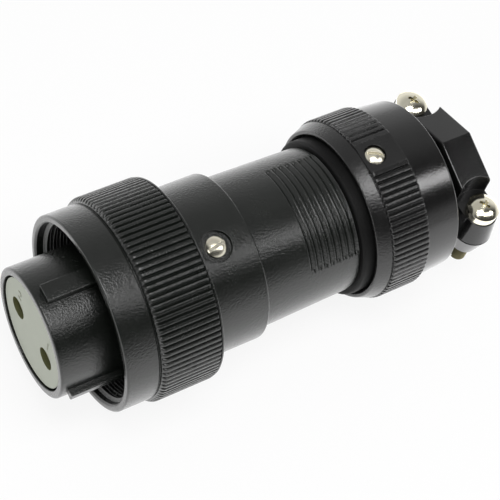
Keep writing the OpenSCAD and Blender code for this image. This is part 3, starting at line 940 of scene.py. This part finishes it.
@dataclass
class FrontShell:
    """Keyed nose with its rounded rim, the flange and the spigot."""

    bore_r: float = 10.0
    bore_round: float = 0.15
    nose_r: float = 11.35
    rim_round: float = 0.4
    flange_x: float = 19.4
    flange_root: float = 0.3
    flange_round: float = 0.25
    spigot_x: float = 21.8
    spigot_r: float = 12.6
    spigot_round: float = 0.3
    seat_x: float = 20.2
    seat_r: float = 11.0
    groove_gap: float = 0.05
    key_start: float = 1.4
    key_end: float = 16.8
    key_sink: float = 0.6
    key_edge: float = 0.2
    keys: tuple[tuple[float, float, float], ...] = (
        (0.0, 3.3, 12.85), (97.0, 1.9, 12.55), (-97.0, 1.9, 12.55))
    dimple_x: float = 29.9
    dimple_r: float = 1.06
    dimple_z: float = 12.1
    dimple_turn: float = 16.0

    def key(self, angle: float, width: float, top_r: float) -> BMesh:
        """One locating key.

        Args:
            angle: angle from the top.
            width: width across.
            top_r: radius of its top.

        Returns:
            The closed mesh with rounded edges.
        """
        spread = math.degrees(2.0 * math.asin(width / 2.0 / top_r))
        root_r = self.nose_r - self.key_sink
        bm = bmesh.new()
        verts = add_wire(bm, [Vector((self.key_start, root_r)), Vector((self.key_end, root_r)),
                              Vector((self.key_end, top_r)), Vector((self.key_start, top_r))], True)
        bmesh.ops.contextual_create(bm, geom=verts)
        rotated(bm, rolled(angle - spread / 2.0))
        bmesh.ops.spin(bm, geom=bm.verts[:] + bm.edges[:] + bm.faces[:], cent=(0, 0, 0), axis=AXIS,
                       dvec=(0, 0, 0), angle=math.radians(spread), steps=8, use_merge=False,
                       use_duplicate=False)
        return bevel_where(tidy(bm), self.key_edge, is_sharp)

    def build(self) -> None:
        """Build and dress the shell."""
        span, seal, keeper = Span.of("front_shell"), Span.of("shell_o_ring"), Span.of("insert_ring")
        end = span.high.x
        seal_floor = seal.radius - (seal.high.x - seal.low.x) - self.groove_gap
        seal_low, seal_high = seal.low.x - 2.0 * self.groove_gap, seal.high.x + 2.0 * self.groove_gap
        keeper_r = keeper.radius + self.groove_gap
        keeper_low, keeper_high = keeper.low.x - self.groove_gap, keeper.high.x + self.groove_gap
        piece = Piece("nose_moulding", spun([
            Corner(0.0, self.bore_r, self.bore_round), Corner(0.0, self.nose_r, self.rim_round),
            Corner(self.flange_x, self.nose_r, self.flange_root),
            Corner(self.flange_x, span.radius, self.flange_round),
            Corner(self.spigot_x, span.radius, self.flange_round), Corner(self.spigot_x, self.spigot_r),
            Corner(seal_low, self.spigot_r), Corner(seal_low, seal_floor), Corner(seal_high, seal_floor),
            Corner(seal_high, self.spigot_r), Corner(end, self.spigot_r, self.spigot_round),
            Corner(end, self.seat_r), Corner(keeper_high, self.seat_r), Corner(keeper_high, keeper_r),
            Corner(keeper_low, keeper_r), Corner(keeper_low, self.seat_r),
            Corner(self.seat_x, self.seat_r), Corner(self.seat_x, self.bore_r),
        ], steps=180))
        for angle, width, top_r in self.keys:
            piece.add(self.key(angle, width, top_r))
        dimple = drum(self.dimple_r, self.dimple_z, self.spigot_r + PAST, (self.dimple_x, 0.0))
        piece.cut(rotated(dimple, rolled(self.dimple_turn)))
        piece.dress(MOULDING, "housing", "front_shell")


@dataclass
class ContactInsert:
    """Raised numerals beside the contact holes of the grey insert."""

    numerals: tuple[tuple[str, float], ...] = (("1", -1.0), ("2", 1.0))
    contact_y: float = 5.05
    numeral_z: float = 4.1
    type_size: float = 2.8
    relief: float = 0.06

    def numeral(self, text: str, side: float) -> None:
        """One raised numeral on the insert's face.

        Args:
            text: the numeral.
            side: which contact it belongs to.
        """
        face_x = Span.of("insulator").low.x
        curve = bpy.data.curves.new("numeral", "FONT")
        curve.body = text
        curve.size = self.type_size * MM
        curve.extrude = self.relief * MM
        curve.align_x, curve.align_y = "CENTER", "CENTER"
        carrier = bpy.data.objects.new("numeral", curve)
        bpy.context.scene.collection.objects.link(carrier)
        graph = bpy.context.evaluated_depsgraph_get()
        mesh = bpy.data.meshes.new_from_object(carrier.evaluated_get(graph))
        bpy.data.objects.remove(carrier)
        bpy.data.curves.remove(curve)
        bm = bmesh.new()
        bm.from_mesh(mesh)
        bpy.data.meshes.remove(mesh)
        upright = Matrix(((0.0, 0.0, -1.0), (-1.0, 0.0, 0.0), (0.0, 1.0, 0.0)))
        bmesh.ops.transform(bm, matrix=upright.to_4x4(), verts=bm.verts)
        tidy(bm)
        move(bm, face_x, side * self.contact_y, self.numeral_z)
        Piece(f"numeral_{text}", bm).dress(NUMERAL, "housing")

    def build(self) -> None:
        """Build the numerals."""
        for text, side in self.numerals:
            self.numeral(text, side)


@dataclass
class CouplingNut:
    """Ribbed nut with its inside thread."""

    band_r: float = 17.2
    band_round: float = 0.35
    rib_x: float = 14.6
    rib_round: float = 0.95
    rib_tail: float = 0.2
    rim_t: float = 0.4
    rim_r: float = 17.9
    rim_round: float = 0.2
    relief: float = 0.18
    relief_at: tuple[float, float, float] = (-0.25, -0.12, 0.02)
    relief_rounds: tuple[float, float, float] = (0.18, 0.04, 0.03)
    rib_step: float = 0.1
    rib_play: float = 0.03
    tail_at: tuple[float, float] = (-0.25, -0.05)
    fine_round: float = 0.1
    entrance: float = 0.3
    thread_r: float = 15.85
    thread_minor_r: float = 15.2
    thread_pitch: float = 1.25
    thread_start: float = 1.1
    lip_x: float = 22.05
    lip_r: float = 12.67
    ribs: int = 104
    rib_floor: float = 17.5

    def build(self) -> None:
        """Build and dress the nut."""
        span = Span.of("coupling_nut")
        front, rear, top = span.low.x, span.high.x, span.radius
        rim_x = rear - self.rim_t
        relief_r, step_r = self.band_r - self.relief, self.rib_floor + self.rib_step
        band_end, relief_x, face_x = (self.rib_x + shift for shift in self.relief_at)
        tail_x, step_x = (rim_x + shift for shift in self.tail_at)
        ribs = Ribs(self.ribs, self.rib_floor, self.rib_x + self.rib_play, rim_x - self.rib_play)
        band_round, relief_round, face_round = self.relief_rounds
        bm = spun([
            Corner(front, self.thread_r + self.entrance, self.fine_round),
            Corner(front, self.band_r, self.band_round), Corner(band_end, self.band_r, band_round),
            Corner(relief_x, relief_r, relief_round), Corner(face_x, relief_r, face_round),
            Corner(face_x, top, self.rib_round), Corner(tail_x, top, self.rib_tail),
            Corner(step_x, step_r), Corner(rim_x, step_r), Corner(rim_x, self.rim_r, self.fine_round),
            Corner(rear, self.rim_r, self.rim_round), Corner(rear, self.lip_r, self.rim_round),
            Corner(self.lip_x, self.lip_r), Corner(self.lip_x, self.thread_r),
            Corner(front + self.entrance, self.thread_r, self.fine_round),
        ], ribs.steps)
        ribs.press(bm)
        thread_l = self.lip_x - front - 2.0 * self.thread_start
        piece = Piece("nut_moulding", bm)
        piece.join(helix(self.thread_minor_r, self.thread_r, self.thread_pitch,
                         front + self.thread_start, thread_l, inside=True, steps=120))
        piece.dress(MOULDING, "coupling_nut", "coupling_nut", crease=50.0)


@dataclass
class Barrel:
    """Barrel with its collar, its patch of grip grooves and its tail."""

    turn: float = 16.0
    front_round: float = 0.3
    collar_end: float = 36.4
    collar_round: float = 0.45
    body_front_r: float = 13.65
    body_rear_r: float = 13.2
    body_round: float = 0.12
    shoulder_x: float = 55.3
    shoulder_flat: float = 0.13
    tail_r: float = 12.0
    tail_round: float = 0.3
    spigot_r: float = 12.7
    spigot_end: float = 34.85
    bore_r: float = 10.4
    grooves: int = 8
    groove_pitch: float = 1.26
    groove_w: float = 1.18
    groove_depth: float = 0.4
    groove_walls: tuple[tuple[float, float], ...] = (
        (0.5, 0.0), (0.43, 0.03), (0.37, 0.12), (0.29, 0.3), (0.02, 1.0))
    groove_end: float = 0.6
    groove_angle: float = 89.0
    run_slack: float = 0.05
    run_angle: float = 0.1
    run_limits: tuple[float, float] = (1.0, 0.15)
    screw_x: float = 29.9
    screw_r: float = 1.06
    recess_r: float = 2.7
    recess_depth: float = 0.9
    rim: float = 0.12

    def surface_r(self, x: float) -> float:
        """Radius of the tapered body at a station."""
        share = (x - self.collar_end) / (self.shoulder_x - self.collar_end)
        return self.body_front_r + (self.body_rear_r - self.body_front_r) * share

    def outline(self, grooved: bool) -> list[Vector]:
        """Outline of the barrel's wall.

        Args:
            grooved: whether the grip grooves are cut into it.

        Returns:
            Points as (x, r).
        """
        span = Span.of("barrel")
        front, end, top = span.low.x, span.high.x, span.radius
        corners = [Corner(front, self.spigot_r), Corner(front, top, self.front_round),
                   Corner(self.collar_end, top, self.collar_round),
                   Corner(self.collar_end, self.body_front_r, self.body_round)]
        wall = [(-share, deep) for share, deep in self.groove_walls]
        wall += [(share, deep) for share, deep in reversed(self.groove_walls)]
        last_x = self.shoulder_x - self.shoulder_flat
        for i in reversed(range(self.grooves)):
            middle = self.shoulder_x - self.groove_end - i * self.groove_pitch
            for share, deep in wall:
                x = middle + share * self.groove_w
                if x < last_x:
                    corners.append(Corner(x, self.surface_r(x) - grooved * deep * self.groove_depth))
        corners += [Corner(last_x, self.surface_r(last_x)),
                    Corner(self.shoulder_x, self.body_rear_r, self.body_round),
                    Corner(self.shoulder_x, self.tail_r), Corner(end, self.tail_r, self.tail_round),
                    Corner(end, self.bore_r), Corner(self.spigot_end, self.bore_r),
                    Corner(self.spigot_end, self.spigot_r)]
        return rounded_outline(corners, True)

    def sector(self, bm: BMesh, grooved: bool, start: float, spread: float, steps: int) -> None:
        """Spin one sector of the wall.

        Args:
            bm: mesh that takes it.
            grooved: whether it has the grip grooves.
            start: angle where it starts, from the top.
            spread: angle that it covers.
            steps: number of steps.
        """
        known = set(bm.edges)
        verts = add_wire(bm, self.outline(grooved), True)
        edges = [edge for edge in bm.edges if edge not in known]
        bmesh.ops.rotate(bm, verts=verts, cent=(0, 0, 0), matrix=rolled(start))
        bmesh.ops.spin(bm, geom=verts + edges, cent=(0, 0, 0), axis=AXIS, dvec=(0, 0, 0),
                       angle=math.radians(spread), steps=steps, use_merge=False, use_duplicate=False)

    def run_out(self, bm: BMesh) -> None:
        """Let the grooves rise to the surface at both ends of the patch.

        Args:
            bm: mesh of the grooved sector.
        """
        floor = self.body_rear_r - self.groove_depth - self.run_slack
        first, last = self.collar_end + self.run_limits[0], self.shoulder_x - self.run_limits[1]
        for vert in bm.verts:
            x, radius = vert.co.x / MM, math.hypot(vert.co.y, vert.co.z) / MM
            angle = abs(math.degrees(math.atan2(-vert.co.y, vert.co.z)))
            at_end = abs(angle - self.groove_angle / 2.0) < self.run_angle
            if at_end and radius > floor and first < x < last:
                vert.co.yz *= self.surface_r(x) / radius

    def build(self) -> None:
        """Build and dress the barrel."""
        bm = bmesh.new()
        half = self.groove_angle / 2.0
        self.sector(bm, True, -half, self.groove_angle, steps=64)
        self.run_out(bm)
        self.sector(bm, False, half, 360.0 - self.groove_angle, steps=144)
        bmesh.ops.remove_doubles(bm, verts=bm.verts, dist=WELD * MM)
        tidy(bm)
        collar_r = Span.of("barrel").radius
        at = (self.screw_x, 0.0)
        piece = Piece("barrel_moulding", bm)
        piece.cut(drum(self.recess_r, collar_r - self.recess_depth, collar_r + 2.0 * PAST, at))
        piece.soften(self.rim, OnWell(at, self.recess_r, collar_r - 0.7 * self.recess_depth))
        piece.cut(drum(self.screw_r, self.spigot_r - PAST, collar_r, at))
        piece.object.data.transform(rolled(self.turn).to_4x4())
        piece.dress(MOULDING, "housing", "barrel")


@dataclass
class BellGasket:
    """Rubber ring between the barrel's shoulder and the end bell."""

    inner_r: float = 12.1
    front_round: float = 0.5
    rear_round: float = 0.2

    def build(self) -> None:
        """Build and dress the gasket."""
        span = Span.of("bell_gasket")
        front, rear, outer_r = span.low.x, span.high.x, span.radius
        ring = spun([Corner(front, self.inner_r), Corner(front, outer_r, self.front_round),
                     Corner(rear, outer_r, self.rear_round), Corner(rear, self.inner_r)])
        Piece("gasket_ring", ring).dress(RUBBER, "housing", "bell_gasket")


@dataclass
class CableClamp:
    """Sizes that both halves of the cable clamp share."""

    clamp_x: float = 81.45
    clamp_half: float = 3.2
    screw_y: float = 12.0
    channel_r: float = 5.75

    @property
    def front(self) -> float:
        """Station of the clamp's front."""
        return self.clamp_x - self.clamp_half

    @property
    def rear(self) -> float:
        """Station of the clamp's rear."""
        return self.clamp_x + self.clamp_half

    @property
    def wide(self) -> float:
        """Half width of a block that reaches past the whole clamp."""
        return 2.0 * self.screw_y

    @property
    def screws(self) -> list[tuple[float, float]]:
        """Places of the two screws' axes, as (x, y)."""
        return [(self.clamp_x, side * self.screw_y) for side in (-1.0, 1.0)]


@dataclass
class EndBell(CableClamp):
    """Ribbed end bell with its pad and the fixed half of the cable clamp."""

    lip_r: float = 15.4
    lip_bore: float = 14.35
    lip_chamfer: float = 0.5
    lip_round: float = 0.3
    flank_x: float = 60.0
    flank_drop: float = 0.3
    relief: float = 0.2
    relief_at: tuple[float, float, float] = (-0.25, -0.08, 0.03)
    relief_rounds: tuple[float, float, float] = (0.12, 0.04, 0.03)
    rib_play: tuple[float, float] = (0.04, 0.01)
    rib_foot: float = 0.1
    fine_round: float = 0.05
    rib_end: float = 67.4
    rib_front_round: float = 0.4
    rib_rear_round: float = 0.35
    bell_front_r: float = 15.95
    bell_rear_r: float = 15.5
    bell_round: float = 0.45
    bell_end: float = 74.4
    wall_x: float = 72.9
    cable_hole: float = 6.6
    hole_round: float = 0.3
    cavity_r: float = 11.3
    cavity_x: float = 66.35
    thread_r: float = 12.1
    gasket_x: float = 59.0
    ribs: int = 92
    rib_floor: float = 16.15
    bare_angle: float = 13.0
    pad_z: float = 16.2
    pad_half: float = 2.9
    screw_x: float = 62.6
    screw_r: float = 1.06
    recess_r: float = 1.95
    recess_depth: float = 0.9
    tray_top: float = -1.8
    tray_side: float = 6.2
    tray_half: float = 8.3
    tray_edge: float = 0.3
    keel: float = 8.9
    boss_foot_r: float = 3.65
    boss_tip_r: float = 2.3
    boss_l: float = 4.8
    boss_edge: float = 0.2
    bolt_r: float = 1.56
    bolt_depth: float = 9.0

    def shell(self) -> BMesh:
        """Turned shell with ribs and pad.

        Returns:
            The closed mesh.
        """
        front, top = Span.of("end_bell").low.x, Span.of("end_bell").high.y
        flank_r, relief_r = top - self.flank_drop, top - self.flank_drop - self.relief
        lip_end, relief_x, face_x = (self.flank_x + shift for shift in self.relief_at)
        lip_round, relief_round, face_round = self.relief_rounds
        ribs = Ribs(self.ribs, self.rib_floor, self.flank_x + self.rib_play[0],
                    self.rib_end + self.rib_play[1], self.bare_angle)
        bm = spun([
            Corner(front, self.lip_bore + self.lip_chamfer, self.fine_round),
            Corner(front, self.lip_r, self.lip_round), Corner(lip_end, flank_r, lip_round),
            Corner(relief_x, relief_r, relief_round), Corner(face_x, relief_r, face_round),
            Corner(face_x, top, self.rib_front_round), Corner(self.rib_end, top, self.rib_rear_round),
            Corner(self.rib_end, self.bell_front_r, self.rib_foot),
            Corner(self.bell_end, self.bell_rear_r, self.bell_round),
            Corner(self.bell_end, self.cable_hole, self.hole_round),
            Corner(self.wall_x, self.cable_hole), Corner(self.wall_x, self.cavity_r),
            Corner(self.cavity_x, self.cavity_r),
            Corner(self.cavity_x, self.thread_r), Corner(self.gasket_x, self.thread_r),
            Corner(self.gasket_x, self.lip_bore),
            Corner(front + self.lip_chamfer, self.lip_bore, self.fine_round),
        ], ribs.steps)
        ribs.press(bm)
        for vert in bm.verts:
            inside = abs(vert.co.y) < self.pad_half * MM and self.flank_x < vert.co.x / MM < ribs.end
            if inside and vert.co.z > self.pad_z * MM:
                vert.co.z = self.pad_z * MM
        return bm

    def tray(self) -> Piece:
        """Fixed lower half of the clamp, made too high and then cut level.

        Returns:
            The tray with its neck and bosses.
        """
        high = self.tray_top + PAST / 2.0
        bm = prism([(-self.screw_y, high), (self.screw_y, high), (self.screw_y, self.tray_top),
                    (self.tray_half, -self.tray_side), (0.0, -self.keel),
                    (-self.tray_half, -self.tray_side), (-self.screw_y, self.tray_top)],
                   self.front, self.rear)
        tray = Piece("tray", bevel_where(bm, self.tray_edge, is_sharp))
        tray.add(bar(self.keel, self.bell_end - self.bell_round, self.clamp_x))
        slope = (self.boss_foot_r - self.boss_tip_r) / self.boss_l
        for x, y in self.screws:
            boss = drum(self.boss_tip_r, self.tray_top - self.boss_l, self.tray_top + PAST,
                        top_radius=self.boss_foot_r + slope * PAST)
            tray.add(move(bevel_where(boss, self.boss_edge, is_sharp), x, y, 0.0))
        tray.cut(slab(self.wide, self.tray_top, self.wide, self.wall_x, self.rear + PAST))
        tray.cut(bar(self.channel_r, self.bell_end, self.rear + 2.0 * PAST))
        tray.cut(bar(self.cable_hole, self.wall_x, self.bell_end))
        for at in self.screws:
            tray.cut(drum(self.bolt_r, self.tray_top - self.bolt_depth, self.tray_top + 2.0 * PAST, at))
        return tray

    def build(self) -> None:
        """Build and dress the end bell."""
        at = (self.screw_x, 0.0)
        piece = Piece("bell_moulding", self.shell())
        piece.cut(drum(self.recess_r, self.pad_z - self.recess_depth, self.pad_z + 2.0 * PAST, at))
        piece.cut(drum(self.screw_r, self.thread_r - PAST, self.pad_z, at))
        tray = self.tray().object
        bm = bmesh.new()
        bm.from_mesh(tray.data)
        bpy.data.objects.remove(tray)
        piece.join(bm)
        piece.dress(BELL_MOULDING, "housing", "end_bell", crease=40.0)


@dataclass
class ClampSaddle(CableClamp):
    """Loose upper half of the cable clamp."""

    ridge_z: float = 10.6
    roof_angle: float = 20.0
    seat_z: float = 3.7
    parting: float = -1.5
    scallop_r: float = 4.75
    lug_r: float = 3.0
    lug_foot_r: float = 3.65
    hole_r: float = 1.7
    edge: float = 0.45
    rim: float = 0.28
    lug_rim: float = 0.15
    rim_above: float = 0.1
    lug_above: float = -0.01

    def build(self) -> None:
        """Build the saddle, made too deep and then cut level, and dress it."""
        front, rear = self.front, self.rear
        eave = self.ridge_z - self.screw_y * math.tan(math.radians(self.roof_angle))
        low = self.parting - PAST
        bm = prism([(0.0, self.ridge_z), (self.screw_y, eave), (self.screw_y, low), (-self.screw_y, low),
                    (-self.screw_y, eave)], front, rear)
        bevel_where(bm, self.edge, lambda edge: min(vert.co.z for vert in edge.verts) > eave * MM - 1e-6
                    and abs(edge.verts[0].co.x - edge.verts[1].co.x) < 1e-6)
        saddle = Piece("saddle_moulding", bm)
        slope = (self.lug_foot_r - self.lug_r) / (self.seat_z - self.parting)
        foot_r, tip_r = self.lug_foot_r + slope * PAST, self.lug_r - slope * PAST
        for at in self.screws:
            saddle.add(drum(foot_r, low, self.seat_z + PAST, at, tip_r))
        for at in self.screws:
            saddle.cut(drum(self.scallop_r, self.seat_z, self.ridge_z + 2.0 * PAST, at))
        for at in self.screws:
            saddle.soften(self.rim, OnWell(at, self.scallop_r, self.seat_z + self.rim_above))
            saddle.soften(self.lug_rim, OnWell(at, self.lug_r, self.seat_z + self.lug_above))
        saddle.cut(slab(self.wide, low - PAST, self.parting, front - 2.0 * PAST, rear + 2.0 * PAST))
        saddle.cut(bar(self.channel_r, front - 2.0 * PAST, rear + 2.0 * PAST))
        saddle.cut(slab(self.channel_r, low, 0.0, front - PAST, rear + PAST))
        for at in self.screws:
            saddle.cut(drum(self.hole_r, low, self.seat_z + PAST, at))
        saddle.dress(SMOOTH_MOULDING, "clamp_saddle", "clamp_saddle")


@dataclass
class ClampScrew:
    """Cross recess pan head screw with its thread."""

    node: str
    head_d: float = 5.7
    head_h: float = 2.6
    head_round: float = 0.12
    dome_r: float = 4.2
    shank_d: float = 3.0
    tip_round: float = 0.3
    pitch: float = 0.5
    thread_depth: float = 0.28
    thread_lead: float = 0.2
    thread_short: float = 0.8
    cross_l: float = 3.0
    cross_w: float = 0.7
    cross_h: float = 1.3
    cross_step: float = 0.045
    cross_taper: tuple[float, float] = (0.35, 0.6)
    cross_floor: float = 0.1
    cross_turn: float = 30.0

    def build(self) -> None:
        """Build and dress the screw's head and its thread."""
        span = Span.of(self.node)
        top, tip = span.high.z, span.low.z
        seat, neck = top - self.head_h, top - self.head_h + self.thread_lead
        shank_r, head_r = self.shank_d / 2.0, self.head_d / 2.0
        root_r = shank_r - self.thread_depth
        rise = self.dome_r - math.sqrt(self.dome_r ** 2 - head_r ** 2)
        head = Piece(self.node + "_turned", turned_up(spun([
            Corner(seat, 0.0), Corner(seat, head_r, self.head_round),
            *cap(top - rise, head_r, top, steps=10),
        ], steps=96, closed=False)))
        for step, turn in enumerate((0.0, 90.0)):
            deep = top - self.cross_h - step * self.cross_step
            arm = slab(self.cross_w / 2.0, deep, top + PAST, -self.cross_l / 2.0, self.cross_l / 2.0)
            for vert in arm.verts:
                if vert.co.z < (deep + self.cross_floor) * MM:
                    vert.co.x *= self.cross_taper[0]
                    vert.co.y *= self.cross_taper[1]
            head.cut(turned(arm, turn + self.cross_turn))
        thread = Piece(self.node + "_thread", turned_up(spun([
            Corner(tip, 0.0), Corner(tip, root_r, self.tip_round),
            Corner(neck, root_r), Corner(neck, 0.0),
        ], steps=48, closed=False)))
        length = seat - tip - self.thread_short
        thread.join(turned_up(helix(root_r, shank_r, self.pitch, tip + self.thread_lead, length,
                                    inside=False, steps=36)))
        place = Matrix.Translation(Vector((span.centre.x, span.centre.y, 0.0)) * MM)
        for made in (head, thread):
            made.object.data.transform(place)
        thread.dress(THREAD, self.node)
        head.dress(NICKEL, self.node, self.node)


class CarriedNodes:
    """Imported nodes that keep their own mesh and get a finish."""

    finishes: dict[str, Finish] = {
        "insulator": INSERT, "contact_retainer": INSERT, "insert_ring": STEEL,
        "socket_contact_a": BRASS, "socket_contact_b": BRASS,
        "contact_spring_a": STEEL, "contact_spring_b": STEEL, "mating_gasket": RUBBER,
        "shell_o_ring": RUBBER, "slip_washer": STEEL, "cable_bushing": RUBBER,
    }

    def dress(self) -> None:
        """Put each node's finish into its material slots."""
        for node, finish in self.finishes.items():
            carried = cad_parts[node]
            carried.data.materials.clear()
            carried.data.materials.append(finish.material())
            LOG.info("%s keeps its mesh in %s", node, finish.name)


@dataclass(frozen=True)
class SoftBox:
    """A rectangular lamp.

    Attributes:
        name: name of the lamp.
        place: its middle, in millimetres.
        size: its length and its width.
        power: its power in watts.
    """

    name: str
    place: tuple[float, float, float]
    size: tuple[float, float]
    power: float

    def build(self, aim: Vector, along: Vector) -> None:
        """Hang the lamp.

        Args:
            aim: point that it faces.
            along: direction of its length.
        """
        data = bpy.data.lights.new(self.name, "AREA")
        data.shape = "RECTANGLE"
        data.size, data.size_y = self.size[0] * MM, self.size[1] * MM
        data.energy = self.power
        lamp = bpy.data.objects.new(self.name, data)
        back = (Vector(self.place) * MM - aim).normalized()
        right = (along - along.dot(back) * back).normalized()
        up = back.cross(right)
        turn = Matrix((right, up, back)).transposed().to_4x4()
        lamp.matrix_world = Matrix.Translation(Vector(self.place) * MM) @ turn
        lamp.visible_camera = False
        bpy.context.scene.collection.objects.link(lamp)


@dataclass
class Studio:
    """Camera at the photograph's angle, pale floor and soft lamps."""

    eye: tuple[float, float, float] = (-68.175, -103.248, 236.964)
    aim: tuple[float, float, float] = (41.133, -0.704, 0.0)
    roll: float = 20.19
    lens: float = 118.14
    sensor: float = 36.0
    clip: tuple[float, float] = (0.01, 20.0)
    lamps: tuple[SoftBox, ...] = (
        SoftBox("strip", (160.0, -163.0, 300.0), (210.0, 92.0), 0.17),
        SoftBox("strip_end", (340.0, -186.0, 300.0), (110.0, 96.0), 0.34),
        SoftBox("overhead", (-20.0, -75.0, 420.0), (220.0, 170.0), 1.15),
        SoftBox("front", (-330.0, -120.0, 190.0), (160.0, 80.0), 0.3),
    )
    lamp_length: tuple[float, float, float] = (0.972, -0.235, 0.0)
    white: tuple[float, float, float, float] = (1.0, 1.0, 1.0, 1.0)
    floor_size: float = 4000.0
    floor_paint: tuple[float, float, float, float] = (0.85, 0.85, 0.85, 1.0)
    floor_glow: float = 0.88
    floor_sheen: float = 0.85
    room: float = 0.05
    ceiling: float = 0.45
    wall: float = 0.88
    wall_heights: tuple[float, float] = (0.36, 0.12)
    back_heights: tuple[float, float] = (0.8, 0.2)
    back_sides: tuple[float, float] = (-0.25, 0.35)

    def camera(self) -> Vector:
        """Set up the camera.

        Returns:
            The point it looks at.
        """
        eye, aim = Vector(self.eye) * MM, Vector(self.aim) * MM
        data = bpy.data.cameras.new("photo_camera")
        data.sensor_width = self.sensor
        data.lens = self.lens
        data.clip_start, data.clip_end = self.clip
        camera = bpy.data.objects.new("photo_camera", data)
        back = (eye - aim).normalized()
        level = (-back).to_track_quat("-Z", "Y").to_matrix()
        turn = level @ Matrix.Rotation(math.radians(self.roll), 3, "Z")
        camera.matrix_world = Matrix.Translation(eye) @ turn.to_4x4()
        bpy.context.scene.collection.objects.link(camera)
        bpy.context.scene.camera = camera
        return aim

    def floor(self) -> None:
        """Lay the pale floor under the object."""
        bm = bmesh.new()
        bmesh.ops.create_grid(bm, x_segments=1, y_segments=1, size=self.floor_size / 2.0 * MM)
        bmesh.ops.translate(bm, verts=bm.verts, vec=Vector((0.0, 0.0, CAD_BOX[0].z)))
        floor = Piece("floor", bm).object
        material = bpy.data.materials.new("white_floor")
        graph = Graph(material)
        camera_ray, glossy_ray, clear_ray = (
            graph.node("ShaderNodeLightPath", output=f"Is {kind} Ray")
            for kind in ("Camera", "Glossy", "Transmission"))
        paint = graph.node("ShaderNodeBsdfDiffuse", None, {"Color": self.floor_paint})
        glow, sheen = (graph.node("ShaderNodeEmission", None, {"Color": self.white, "Strength": level})
                       for level in (1.0, self.floor_sheen))
        seen = graph.join("ShaderNodeMixShader", paint, glow, {"Fac": camera_ray * self.floor_glow})
        mirrored = graph.join("ShaderNodeAddShader", paint, sheen)
        both = graph.join("ShaderNodeMixShader", seen, mirrored, {"Fac": glossy_ray.highest(clear_ray)})
        graph.node("ShaderNodeOutputMaterial", None, {"Surface": both})
        floor.data.materials.append(material)

    def sky(self) -> None:
        """Show white behind the object, and light it from white walls and a dim ceiling."""
        world = bpy.data.worlds.new("studio")
        bpy.context.scene.world = world
        graph = Graph(world)
        camera_ray = graph.node("ShaderNodeLightPath", output="Is Camera Ray")
        direction = graph.node("ShaderNodeTexCoord", output="Generated")
        side, height = (graph.node("ShaderNodeSeparateXYZ", None, {"Vector": direction}, axis)
                        for axis in "YZ")
        around = self.wall * graph.fade(height, *self.wall_heights)
        back = self.ceiling + (self.wall - self.ceiling) * graph.fade(height, *self.back_heights)
        light = self.room + around.highest(back * graph.fade(side, *self.back_sides))
        sockets = {"Color": self.white, "Strength": camera_ray.highest(light)}
        room = graph.node("ShaderNodeBackground", None, sockets)
        graph.node("ShaderNodeOutputWorld", None, {"Surface": room})

    def build(self) -> None:
        """Set up the whole studio."""
        aim = self.camera()
        self.floor()
        self.sky()
        for lamp in self.lamps:
            lamp.build(aim, Vector(self.lamp_length))
        bpy.context.scene.view_settings.view_transform = "Standard"


def main() -> None:
    """Build the studio and every piece in order."""
    logging.basicConfig(level=logging.INFO, format="%(name)s: %(message)s")
    Studio().build()
    CarriedNodes().dress()
    FrontShell().build()
    ContactInsert().build()
    CouplingNut().build()
    Barrel().build()
    SetScrew("barrel_set_screw", station=29.9, angle=16.0, tip=12.15, seat=14.1, turn=12.0).build()
    BellGasket().build()
    EndBell().build()
    SetScrew("bell_set_screw", station=62.6, angle=0.0, tip=11.55, seat=15.35, turn=150.0).build()
    ClampSaddle().build()
    for node in ("clamp_screw_near", "clamp_screw_far"):
        ClampScrew(node).build()


if __name__ == "__main__":
    main()
